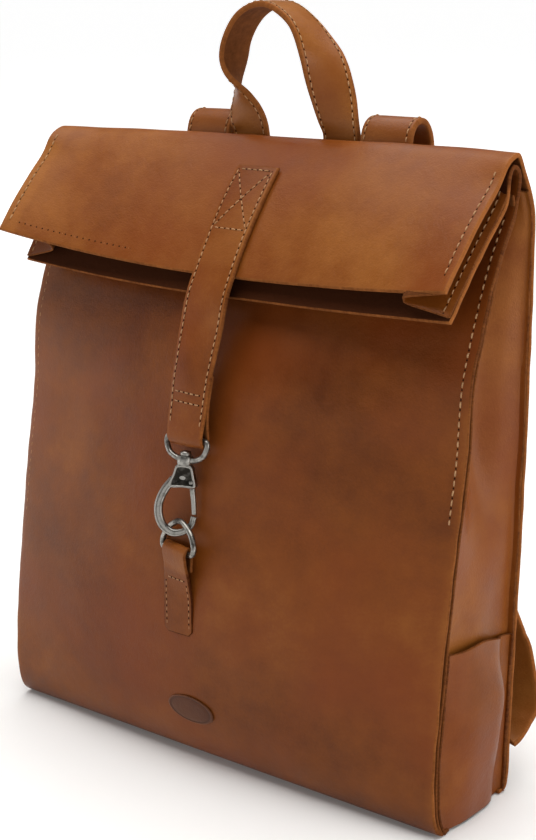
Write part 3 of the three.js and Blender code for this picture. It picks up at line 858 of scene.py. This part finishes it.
def make_seams(front, back):
    body, top = Shape(), Shape()
    for side, _ in SIDES:
        x = side * (HALF - SEAM)
        begin, faint = (165, {}) if side > 0 else (120, {"lift": -0.1, "holes": False})
        width, seed = (0.95, 54) if side > 0 else (0.5, 52)
        seam(body, front, x, share_at(front, begin), share_at(front, 317), width=width, seed=seed, **faint)
        seam(body, back, x, share_at(back, 12), share_at(back, 328), seed=55 + side)
        seam(top, back, x, share_at(back, 344, True), 0.985, width=0.9, seed=57 + side)
        line = lip_line(side * HALF, np.linspace(0.04, 0.96, 90))
        way = unit(np.gradient(line, axis=0))
        up = np.column_stack([np.zeros(90), way[:, 1], -way[:, 0]])
        raised = slump(np.column_stack([np.full(90, side * 150.4), line]) + up * (GUSSET * 0.8 + 0.35))
        sew(top, raised, up, seed=59 + side)
    hem = 1 - 2.6 / (back.shape[1] - 1)
    sew_between(top, back, (row_at(back, -148), hem), (row_at(back, -62), hem), stations=260,
                pitch=4.6, width=0.5, length=2.2, lift=-0.3, seed=61)
    make("body_stitches", body, SEWN, "bag")
    make("flap_stitches", top, SEWN, "folded_top")


# ---- straps ----


def ribbon(line, across, width, cross=9, crown=0.0):
    """A grid over a strap: line and across hold one row for each station, width one number or one each."""
    width = np.broadcast_to(width, (len(line),))
    u = np.linspace(-0.5, 0.5, cross)
    grid = line[None] + across[None] * (u[:, None] * width[None])[..., None]
    up = normals(grid)
    return grid - up * (crown * (2 * u[:, None]) ** 2)[..., None]


def square_across(line, across):
    """The direction across a strap at each point of its line, square to the line."""
    way = unit(np.gradient(line, axis=0))
    across = np.broadcast_to(across, line.shape)
    return unit(across - way * np.sum(across * way, axis=1, keepdims=True))


def edge_rub(grid, amount):
    """Tone that lightens both edges of a strap."""
    rub = np.zeros(grid.shape[:2])
    rub[(0, -1), :] = amount
    return rub


HANGING = [(-36.0, 230), (-39.2, 214), (-39.4, 203), (-38.7, 197), (-38.8, 193.6), (-40.4, 190.5), (-42.8, 189.5),
           (-45.2, 190.5), (-46.9, 193.6), (-46.9, 197), (-44.6, 208), (-42.4, 220), (-40.2, 232), (-36.9, 245),
           (-33.2, 256), (-30.2, 267), (-27.0, 276)]


def make_closure_strap():
    along = np.linspace(0, 1, 200)
    outer = offset(flap_line(0.0, along), -3.15)
    painted_flap_light = np.stack([np.interp(np.linspace(0.97, 0.325, 14), along, outer[:, k]) for k in range(2)], 1)
    line = np.column_stack([np.zeros(150), curve(np.vstack([HANGING, painted_flap_light]), 150, 14)])
    z = line[:, 2]
    lie = lengths(line)
    line[:, 0] = 0.5 * np.sin(lie / 31.0) + ASIDE * smooth((290 - z) / 95)
    width = lerp(24.5, 29.0, np.clip((z - 190) / 60, 0, 1)) + 0.35 * np.sin(lie / 9.0) * (z > 196)
    loose = smooth((z - 205) / 20) * smooth((288 - z) / 16)
    grid = dented(ribbon(line, square_across(line, (1, 0, 0)), width, 13, 0.35), 0.9, 30, 71, loose)
    thick = lerp(1.9, HIDE, np.clip((z - 200) / 60, 0, 1))[None]
    # Darker, with random patches, where the strap hangs loose below the flap.
    loose_tone = 0.22 * ripple(grid, 26, 73) * loose - 0.125 * loose
    shape = skin(Shape(), grid, -thick, 0, 2100, edge_rub(grid, 0.22) + 0.05 + loose_tone, -0.1)
    bend = ("folded_top", "closure_strap", (0, -21.5, 285.0), (0, -26.5, 276.5))
    strap_piece("closure_strap_hide", shape, LEATHER, bend, "closure_strap", "closure_strap_sewn_end")
    thread = Shape()
    total = lie[-1]
    box_low, box_top = 1 - 41 / total, 1 - 3.2 / total
    near, far = 0.09, 0.91
    bottom = np.interp(201, z[40:], lie[40:]) / total
    edge_rows(thread, grid, 2.5, 0, bottom, box_top, pitch=4.0, length=2.7, width=0.8, seed=75)
    for a, b in (
        ((near, box_top), (far, box_top)), ((near, box_low), (far, box_low)),
        ((near, box_low), (far, box_top)), ((far, box_low), (near, box_top)),
    ):
        sew_between(thread, grid, a, b, pitch=4.0, length=2.7, width=0.8, seed=77)
    for height in (211, 219.5):
        share = np.interp(height, z[50:], lie[50:]) / total
        sew_between(thread, grid, (near, share), (far, share), pitch=3.6, length=2.5, width=0.8, seed=79)
    make("closure_strap_stitches", thread, SEWN, between=bend)


RING_TURN = -13  # degrees that the D-ring and the loop round it turn off the bag's front
TAB = [(-55.4, 83.5), (-55.3, 90), (-55.2, 104), (-56.2, 114), (-57.8, 123), (-58.9, 129), (-59.0, 132.8),
       (-57.1, 135.6), (-54.9, 136.4), (-52.7, 135.6), (-50.8, 132.6), (-51.0, 128), (-51.8, 121.5)]


def make_tab():
    line = np.column_stack([np.full(96, ASIDE), curve(TAB, 96, 14)])
    width = 20.6 - 5.0 * smooth((3.2 - lengths(line)) / 3.2)
    grid = ribbon(line, np.broadcast_to((1.0, 0, 0), line.shape), width, 13, 0.2)
    skew = math.tan(math.radians(RING_TURN)) * np.clip((grid[..., 2] - 106) / 18, 0, 1)
    grid[..., 1] += grid[..., 0] * skew
    loop = smooth((grid[..., 2] - 119) / 4)
    shape = skin(Shape(), grid, -1.7, 0, 2300, 0.3 * loop - 0.16 * (1 - loop), -0.35)
    leather_piece("ring_tab_hide", shape, "ring_tab")
    thread = Shape()
    share = float(np.interp(116.5, grid[6, :60, 2], np.arange(60))) / 95
    sew_between(thread, grid, (0.12, share), (0.88, share), pitch=3.4, length=2.3, width=0.75, seed=81)
    edge_rows(thread, grid, 2.2, 0, 0.035, share, pitch=3.8, length=2.3, width=0.45, lift=-0.08, seed=83)
    make("ring_tab_stitches", thread, SEWN, "bag")


def make_badge():
    shape = Shape()
    rings = [(0.0, 0.62), (0.3, 0.62), (0.6, 0.60), (0.80, 0.58), (0.86, 0.40), (0.89, 0.40), (0.93, 0.62),
             (0.97, 0.58), (1.0, 0.30), (1.0, -0.2)]
    around = 56
    angle = np.linspace(0, 2 * math.pi, around, endpoint=False)
    points = []
    for share, proud in rings:
        x = 16.5 * max(share, 0.01) * np.cos(angle)
        z = 37.5 + 8.5 * max(share, 0.01) * np.sin(angle)
        points.append(np.column_stack([x, front_y(z) - bulge(x, z) - 0.55 - proud, z]))
    grid = np.array(points)
    faces = [f[::-1] for f in closed_tube(len(rings), around)]
    tone = np.repeat([0, 0, 0, 0, -0.5, -0.5, 0.1, 0.5, 0.3, 0], around)
    shape.add(grid, faces, 0, grid[..., [0, 2]] + 2500, tone)
    make("oval_badge_hide", shape, (BADGE,), "bag", replaces=("oval_badge",), slot="badge_leather")


HANDLE = [(32, 51.6, 306), (32, 50.9, 330), (32, 49.9, 344), (32, 49.1, 351), (31.6, 48.6, 357), (30.4, 48.4, 364),
          (27, 47.4, 378), (21, 46, 396), (9, 46, 413), (-9, 46, 422.4), (-27, 46, 417), (-39, 46.5, 401),
          (-41.5, 48, 383), (-36.5, 48.5, 367), (-33, 48.6, 357), (-32, 49.1, 351), (-32, 49.9, 344),
          (-32, 50.9, 330), (-32, 51.6, 306)]


def make_handle():
    half = 1.6
    line = curve(HANDLE, 190, 14)
    run = lengths(line)
    total = run[-1]
    near = 20 * smooth((run - 46) / 20) + 70 * smooth((run - 56) / 62)
    far = 90 * smooth((run - total + 92) / 42)
    turn = np.radians(near + far)
    across = square_across(line, np.column_stack([np.cos(turn), np.sin(turn), np.zeros(190)]))
    lift = np.minimum(smooth((run - 46) / 10), smooth((total - 46 - run) / 10))
    grid = ribbon(line, across, 25 + 0.4 * np.sin(run / 11), 13, 0.3)
    grid[..., 1] += 1.5 * (1 - lift)[None]
    grid = dented(grid, 0.35, 30, 85, lift[None])
    shape = skin(Shape(), grid, -half, half, 2700, edge_rub(grid, 0.25) + 0.14, -0.15)
    bend = ("bag", "top_handle", (0, 48.7, 351.5), (0, 48.7, 357.5))
    materials = (STRAP, FLESH, EDGE)
    strap_piece("top_handle_hide", shape, materials, bend, "top_handle", "left_handle_end", "right_handle_end")
    thread = Shape()
    edge_rows(thread, grid, 2.6, half, 0.02, 0.98, pitch=4.4, length=2.9, width=0.75, seed=87)
    make("top_handle_stitches", thread, SEWN, between=bend)


# ---- shoulder straps ----


def centripetal(points):
    """Dense points of a centripetal Catmull-Rom curve, which does not overshoot between uneven points."""
    p = np.asarray(points, float)
    p = np.vstack([2 * p[0] - p[1], p, 2 * p[-1] - p[-2]])
    found = []
    for a, b, c, d in zip(p[:-3], p[1:-2], p[2:-1], p[3:]):
        ta, tb, tc, td = np.cumsum([0, *(np.linalg.norm(np.diff([a, b, c, d], axis=0), axis=1) ** 0.5)])
        t = np.linspace(tb, tc, 30, endpoint=False)[:, None]
        ab = (tb - t) / (tb - ta) * a + (t - ta) / (tb - ta) * b
        bc = (tc - t) / (tc - tb) * b + (t - tb) / (tc - tb) * c
        cd = (td - t) / (td - tc) * c + (t - tc) / (td - tc) * d
        abc = (tc - t) / (tc - ta) * ab + (t - ta) / (tc - ta) * bc
        bcd = (td - t) / (td - tb) * bc + (t - tb) / (td - tb) * cd
        found.append((tc - t) / (tc - tb) * abc + (t - tb) / (tc - tb) * bcd)
    return np.vstack([*found, p[-2:-1]])


SHOULDER = centripetal([(62.6, 69, 340), (63, 77, 316), (67, 85, 270), (77, 87, 212), (94, 83, 156),
                        (113, 74.5, 106), (133, 68.5, 72), (143, 65.5, 55)])
SHOULDER_RUN = lengths(SHOULDER)
SHOULDER_LONG = SHOULDER_RUN[-1]
BUCKLE_AT = 0.66  # shares of the strap's length
KEEPER_AT = 0.57
TAIL = 62.0


def strap_frame(share):
    """Place and axes (across, outward, up) at a share of the shoulder strap's line."""
    where = share * SHOULDER_LONG
    at = at_lengths(SHOULDER, [where - 0.5, where, where + 0.5])
    down = unit(at[2] - at[0])
    across = unit(np.array([1.0, 0, 0]) - down * down[0])
    outward = unit(np.cross(-down, across))
    return np.column_stack([across, outward, -down]), at[1]


def mirrored(place, side):
    turn, move = place
    flip = np.diag([side, 1.0, 1.0])
    return flip @ turn @ flip, flip @ move


ARCH = [(53.5, 304), (53, 328), (50.2, 345), (53.4, 356.4), (60, 359.4), (66.0, 355.8), (69, 346.5)]
WRAP = [(1.5, 9.5), (2.6, 4), (3.0, 0), (2.1, -2.4), (0, -3.2), (-2.1, -2.4), (-3.0, 0), (-2.8, 4), (-2.6, 16)]


def make_upper_strap(side, name, bend):
    half = 1.7
    arch = offset(spline(ARCH, 12), half)
    arch = np.column_stack([np.full(len(arch), SHOULDER[0, 0]), arch])
    shoulder = SHOULDER[SHOULDER_RUN < 0.645 * SHOULDER_LONG]
    first = shoulder[shoulder[:, 2] < 334]
    line = curve(np.vstack([arch[::9], first[::9], first[-1:]]), 200, 10)
    line[:, 0] *= side
    grid = dented(ribbon(line, square_across(line, (1, 0, 0)), 33, 11, 0.35), 0.4, 45, 91 + side)
    shape = skin(Shape(), grid, -half, half, 2900, edge_rub(grid, 0.22) + 0.1, -0.15)
    turn, move = mirrored(strap_frame(BUCKLE_AT), side)
    wrap = curve(WRAP, 40, 10)
    for offcentre in (-9.6, 9.6):
        loop = np.column_stack([np.full(40, offcentre), wrap]) @ turn.T + move
        lobe = ribbon(loop, np.broadcast_to(turn[:, 0], loop.shape), 13.4, 5)
        skin(shape, lobe, -0.75, 0.75, 3000)
    replaced = (f"{name}_shoulder_strap", f"{name}_strap_arch")
    strap_piece(f"{name}_shoulder_strap_hide", shape, STRAPPING, bend, *replaced)
    thread = Shape()
    edge_rows(thread, grid, 3.0, half, 0.01, 0.985, pitch=4.6, length=3.0, width=0.8, seed=93 + side)
    make(f"{name}_shoulder_strap_stitches", thread, SEWN, between=bend)


# How far the lower strap lies off the shoulder strap's line, by its distance past the buckle: pairs distance, height.
THREADING = [(-TAIL, 3.9), (-34, 3.9), (-10, 4), (0, 6.2), (12, 0.6), (24, -5), (36, -3), (56, 0)]
ANCHOR = [(145, 61, 42.5), (145, 53.5, 34), (144, 47, 28.5), (143, 43.2, 26.5)]
HOLES = ((10, 3.4), (22, 3.4), (34, 3.4), (46, 3.4), (56.5, 9), (84, 3.4), (96, 3.4))  # pairs distance, length


def make_lower_strap(side, name, bend):
    half = 1.55
    threading = spline(THREADING, 20)
    centre = BUCKLE_AT * SHOULDER_LONG
    points = []
    for where in np.linspace(centre - TAIL, 0.985 * SHOULDER_LONG, 90):
        turn, at = strap_frame(where / SHOULDER_LONG)
        points.append(at + turn[:, 1] * np.interp(where - centre, threading[:, 0], threading[:, 1]))
    line = curve(np.vstack([points[::5], ANCHOR]), 170, 10)
    line[:, 0] *= side
    run = lengths(line)
    width = 28 - 15 * (1 - smooth(run / 13)) ** 1.5
    grid = ribbon(line, square_across(line, (1, 0, 0)), width, 11, 0.25)
    tone = edge_rub(grid, 0.2) + 0.12 + 0.12 * ripple(grid, 30, 95)
    shape = skin(Shape(), grid, -half, half, 3200, tone)
    replaced = (f"{name}_lower_strap", f"{name}_lower_anchor")
    strap_piece(f"{name}_lower_strap_hide", shape, STRAPPING, bend, *replaced)
    thread = Shape()
    edge_rows(thread, grid, 2.6, half, 0.05, 0.99, pitch=4.6, length=3.0, width=0.75, seed=97 + side)
    for hole, long in HOLES:
        j = float(np.interp(hole, run, np.arange(170)))
        track = track_of(*on_grid(grid, 5.0, np.linspace(j - 1.4, j + 1.4, 9), half))
        # Each prong hole is a dark mark of painted shade.
        bead(thread, track, track[0][-1] / 2, long, 3.0, 0.1, 0.1, slot=1)
    make(f"{name}_lower_strap_stitches", thread, SEWN, between=bend)


def make_keeper(side, name):
    path = rounded_box(37.6, 12.6, 3.6, 6) + (0, 1.6)
    loop = resample(np.column_stack([path, np.zeros(len(path))]), 72, True)
    shape = sweep(Shape(), loop, rounded_box(1.7, 11, 0.6), (0, 0, 1.0), True)
    make(f"{name}_keeper_hide", shape, (STRAP,), f"{name}_keeper", replaces=(f"{name}_strap_keeper",),
         slot="strap_leather", place=mirrored(strap_frame(KEEPER_AT), side))


# ---- metalwork ----


def lathe(shape, profile, tone=0.0):
    """A turned shape about Z from pairs radius, z, from its lower end to its upper one."""
    around = circle(1, 28)
    points = [np.column_stack([r * around, np.full(28, z)]) for r, z in profile]
    return shape.add(points, [f[::-1] for f in closed_tube(len(profile), 28)], tone=tone)


def plate(shape, outline, thickness):
    """A thick plate in the X-Z plane with a raised border round a dark, sunken field on both faces."""
    middle = outline.mean(0)
    size = np.linalg.norm(outline - middle, axis=1).mean()
    half = thickness / 2
    floor = BORDER_RISE - half
    steps = [(size * 0.97, floor), (BORDER + 0.7, floor), (BORDER + 0.2, 0.25 - half), (BORDER - 0.2, -half),
             (0.45, -half), (0.1, 0.3 - half), (0.0, 0.7 - half)]
    loops = []
    for inset, y in steps + [(inset, -y) for inset, y in steps[::-1]]:
        ring = middle + (outline - middle) * (1 - inset / size)
        loops.append(np.column_stack([ring[:, 0], np.full(len(ring), y), ring[:, 1]]))
    around = len(outline)
    tones = [-0.4, -0.4, 0, 0.5, 0.5, 0.4, 0.1]
    faces = closed_tube(len(loops), around)
    rings = [k // around for k in range(len(faces) - 2)]
    material = [1 if ring in (0, 1, 11, 12) else 0 for ring in rings]
    return shape.add(np.array(loops), faces, [*material, 1, 1], tone=np.repeat([*tones, *tones[::-1]], around))


def rotation(axis, degrees):
    return np.array(Matrix.Rotation(math.radians(degrees), 3, axis))


def wire(right, radius):
    """A closed loop of wire from the right half of its outline, pairs x, z, whose first points are its top."""
    left = [(-x, z) for x, z in right[::-1] if x]
    path = curve([(x, 0, z) for x, z in left[-3:] + right + left[:-3]], 120, closed=True)
    return sweep(Shape(), path, circle(radius), (0, 1.0, 0), True, tone=0.1)


BORDER = 1.2
BORDER_RISE = 0.7
WIRE = 1.6
CHANNEL = [(2.2, -1.1), (2.2, 1.1), (1.7, 1.65), (1.15, 1.7), (0.75, 1.15), (-0.75, 1.15), (-1.15, 1.7), (-1.7, 1.65),
           (-2.2, 1.1), (-2.2, -1.1), (-1.7, -1.65), (-1.15, -1.7), (-0.75, -1.15), (0.75, -1.15), (1.15, -1.7),
           (1.7, -1.65)]
EYE = [(0, 1), (6, 1), (11.6, 1), (14, 0.2), (14.2, -3.5), (11.6, -8), (6, -10.4), (0, -11)]
RING = [(0, 0), (6, 0), (11.5, 0), (12.9, 0.1), (14.3, 1.8), (13.8, 6), (9.3, 12.2), (0, 16.6)]
POST = [(-3.3, -13.6), (-4.6, -14.6), (-5.6, -19), (-7.6, -24.8), (-6.6, -26.6), (-3.2, -26.4), (0.5, -25.9),
        (4.6, -25.9), (7.4, -25.4), (7.7, -24.2), (6.2, -19), (4.9, -14.6), (3.6, -13.6), (0, -13.3)]
ARM = [(-5.4, 0, -22), (-9.4, 0, -28), (-12.0, 0, -35), (-12.0, 0, -42), (-9.0, 0, -48.4), (-3, 0, -51.8),
       (3.4, 0, -50.2), (7.0, 0, -46), (8.0, 0, -41.6)]
PIN = [(0.5, -3.5), (1.1, -3.3), (1.3, -2.9), (1.0, -2.6), (1.0, 2.6), (1.3, 2.9), (1.1, 3.3), (0.5, 3.5)]


def make_closure_metal():
    turn = rotation("X", -11)
    top = np.array([ASIDE, -43.0, 193.0])
    eye = wire(EYE, WIRE)
    lathe(eye, [(3.0, -14.0), (4.1, -13.6), (4.5, -12.6), (4.5, -9.6), (4.1, -8.7), (2.6, -8.4)], 0.15)
    metal_piece("swivel_eye_cast", eye, "swivel_eye", "swivel_eye", (turn, top))

    spun = turn @ rotation("Z", 28)
    hook = Shape()
    lathe(hook, [(1.2, -8.6), (2.9, -8.4), (3.1, -7.6), (2.9, -6.6), (1.8, -5.9), (0.4, -5.6)], 0.5)
    lathe(hook, [(1.9, -15), (1.9, -7.5)])
    plate(hook, curve(POST, 56, 6, True)[::-1], 6.2)
    oval = circle(1.7, 18, 0.62)
    rivet = np.column_stack([oval[:, 0], np.full(18, -2.9), oval[:, 1] - 20.6])
    hook.add(np.vstack([rivet, rivet + (0, 0.6, 0)]), closed_tube(2, 18), tone=0.5)
    arm = curve(ARM, 80)
    thinning = 1.0 - 0.28 * smooth((lengths(arm) - 24) / 30)
    sweep(hook, arm, CHANNEL, (0, 1.0, 0), scale=thinning, tone=0.25)
    metal_piece("hook_body_cast", hook, "hook", "hook_body", (spun, top), smooth_angle=50)

    bar = curve([(5.6, 0, -26.4), (6.1, 0, -29), (7.0, 0, -33.5), (8.0, 0, -40.2)], 30, 10)
    gate = sweep(Shape(), bar, rounded_box(3.0, 3.2, 1.1), (0, 1.0, 0), scale=np.linspace(1.0, 0.82, 30), tone=0.2)
    metal_piece("hook_gate_cast", gate, "gate", "hook_gate", (spun, top))
    place = (spun @ rotation("X", 90), spun @ np.array([5.0, 0, -22.6]) + top)
    metal_piece("gate_pin_cast", lathe(Shape(), PIN), "hook", "gate_pin", place, (SILVER,))

    skewed = turn @ rotation("Z", RING_TURN)
    along_bar = (0, ASIDE * skewed[1, 0] / skewed[0, 0], 0)
    place = (skewed, turn @ np.array([0, 0, -62.0]) + top + along_bar)
    metal_piece("d_ring_wire", wire(RING, WIRE), "d_ring", "d_ring", place)


# The right buckle's two bars, and the direction that both lie along, where its joints have them.
PRONG_BAR = np.array([97.712, 81.765, 146.053])
ROLLER_BAR = np.array([106.277, 78.803, 123.83])
BAR_LINE = np.array([0.93414, 0.04715, 0.35377])
BUCKLE_LONG = 24.0
BUCKLE = [(6, 0), (17.2, 0), (18.6, -1.4), (18.6, -12), (18.6, 1.4 - BUCKLE_LONG), (17.2, -BUCKLE_LONG),
          (6, -BUCKLE_LONG)]


def make_buckle(side, name):
    up = unit(PRONG_BAR - ROLLER_BAR)
    turn, move = mirrored((np.column_stack([BAR_LINE, np.cross(up, BAR_LINE), up]), PRONG_BAR), side)
    body = f"{name}_shoulder_strap"
    metal_piece(f"{name}_buckle_frame_wire", wire(BUCKLE, 1.65), body, f"{name}_buckle_frame", (turn, move))
    bar_loop = 2.5 * circle(1, 28) @ [[0, 1, 0], [0, 0, 1]]
    roller = sweep(Shape(), bar_loop, rounded_box(0.8, 24, 0.3, 3), (1.0, 0, 0), True, tone=0.2)
    place = (turn, turn @ np.array([0, 0, -BUCKLE_LONG]) + move)
    metal_piece(f"{name}_buckle_roller_tube", roller, f"{name}_roller", f"{name}_buckle_roller", place)
    path = curve([(0, 2.2, 0.4), (0, 4.6, -6), (0, 5, -14), (0, 4.9, -BUCKLE_LONG - 1.5)], 30, 10)
    prong = sweep(Shape(), path, circle(1.2, 12), (0, 1.0, 0), scale=np.linspace(1.1, 0.8, 30), tone=0.2)
    sweep(prong, bar_loop, rounded_box(0.9, 3.8, 0.3, 3), (1.0, 0, 0), True, tone=0.1)
    metal_piece(f"{name}_buckle_prong_wire", prong, f"{name}_prong", f"{name}_buckle_prong", (turn, move))


def make_shoulder_straps():
    for side, name in SIDES:
        joined = ("bag", f"{name}_shoulder_strap")
        make_upper_strap(side, name, (*joined, (0, 62.0, 0), (0, 72.0, 0)))
        make_lower_strap(side, name, (*joined, (0, 58.5, 0), (0, 66.0, 0)))
        make_keeper(side, name)
        make_buckle(side, name)


# ---- camera, light and floor ----


AZIMUTH, ELEVATION, ROLL = (math.radians(a) for a in (38.61, 15.10, -0.81))
DISTANCE = 0.9042
TARGET = Vector((0.01767, 0, 0.19839))
FLOOR = 160.0
WARM = (1.0, 0.97, 0.93)


def area_light(name, place, aim, width, height, power, colour):
    data = bpy.data.lights.new(name, "AREA")
    data.shape = "RECTANGLE"
    data.size, data.size_y = width, height
    data.energy = power
    data.color = colour
    lamp = placed(name, data)
    lamp.location = place
    lamp.rotation_euler = (Vector(aim) - Vector(place)).to_track_quat("-Z", "Y").to_euler()


def make_stage():
    camera_data = bpy.data.cameras.new("camera")
    camera_data.lens = 69.6
    camera_data.sensor_width = 36
    camera = placed("camera", camera_data)
    out = math.cos(ELEVATION)
    back = Vector((math.sin(AZIMUTH) * out, -math.cos(AZIMUTH) * out, math.sin(ELEVATION)))
    level = (-back).cross(Vector((0, 0, 1))).normalized()
    rise = level.cross(-back).normalized()
    right = math.cos(ROLL) * level + math.sin(ROLL) * rise
    up = -math.sin(ROLL) * level + math.cos(ROLL) * rise
    turn = Matrix((right, up, back)).transposed().to_4x4()
    camera.matrix_world = Matrix.Translation(TARGET + back * DISTANCE) @ turn
    bpy.context.scene.camera = camera

    ticks = np.linspace(-FLOOR / 2, FLOOR / 2, 9)
    mesh = bpy.data.meshes.new("floor")
    mesh.from_pydata([(x, y, 0.0) for x in ticks for y in ticks], [], grid_faces(9, 9))
    floor = placed("floor", mesh)
    material, tree, shader = new_material("floor")
    at = node(tree, "TexCoord").outputs["Object"]
    far = node(tree, "VectorMath", {0: at}, operation="LENGTH").outputs["Value"]
    # The floor glows: its emission is faint near the bag and strong far off, where it stands in for a white backdrop.
    feed(tree, shader, {
        "Base Color": ramp(tree, noise(tree, at, 3, 2), [(0.0, (0.82, 0.82, 0.82)), (1.0, (0.86, 0.86, 0.86))]),
        "Roughness": 0.95,
        "Specular IOR Level": 0.1,
        "Emission Color": (1, 1, 1, 1),
        "Emission Strength": map_range(tree, far, 0.7, 3.5, 0.06, 0.9, interpolation_type="SMOOTHSTEP"),
    })
    mesh.materials.append(material)

    area_light("top_light", (-0.1, 0.2, 2.4), (-0.1, 0.2, 0), 3.2, 3.2, 116, (1.0, 0.985, 0.96))
    area_light("right_light", (2.0, 0.25, 0.55), (0, 0, 0.2), 0.9, 1.2, 15, WARM)
    area_light("left_light", (-1.25, -0.75, 0.5), (0, 0, 0.2), 0.22, 1.1, 2.4, WARM)
    world = bpy.data.worlds.new("studio")
    world.use_nodes = True
    sky = world.node_tree
    way = node(sky, "TexCoord").outputs["Generated"]
    height = node(sky, "SeparateXYZ", {0: way}).outputs["Z"]
    band = map_range(sky, height, 0.14, 0.34, 1.0, 0.04, interpolation_type="SMOOTHSTEP")
    feed(sky, sky.nodes["Background"], {"Color": (1, 0.99, 0.98, 1), "Strength": band})
    bpy.context.scene.world = world
    bpy.context.scene.view_settings.view_transform = "Standard"


make_stage()
front_grid = make_front()
back_grid = make_back()
for number, side_name in SIDES:
    make_gusset(number, side_name)
    make_side_pocket(number, side_name)
make_base()
make_inner_pocket()
for number, side_name in SIDES:
    make_flap_gusset(number, side_name)
make_seams(front_grid, back_grid)
make_closure_strap()
make_tab()
make_badge()
make_closure_metal()
make_handle()
make_shoulder_straps()
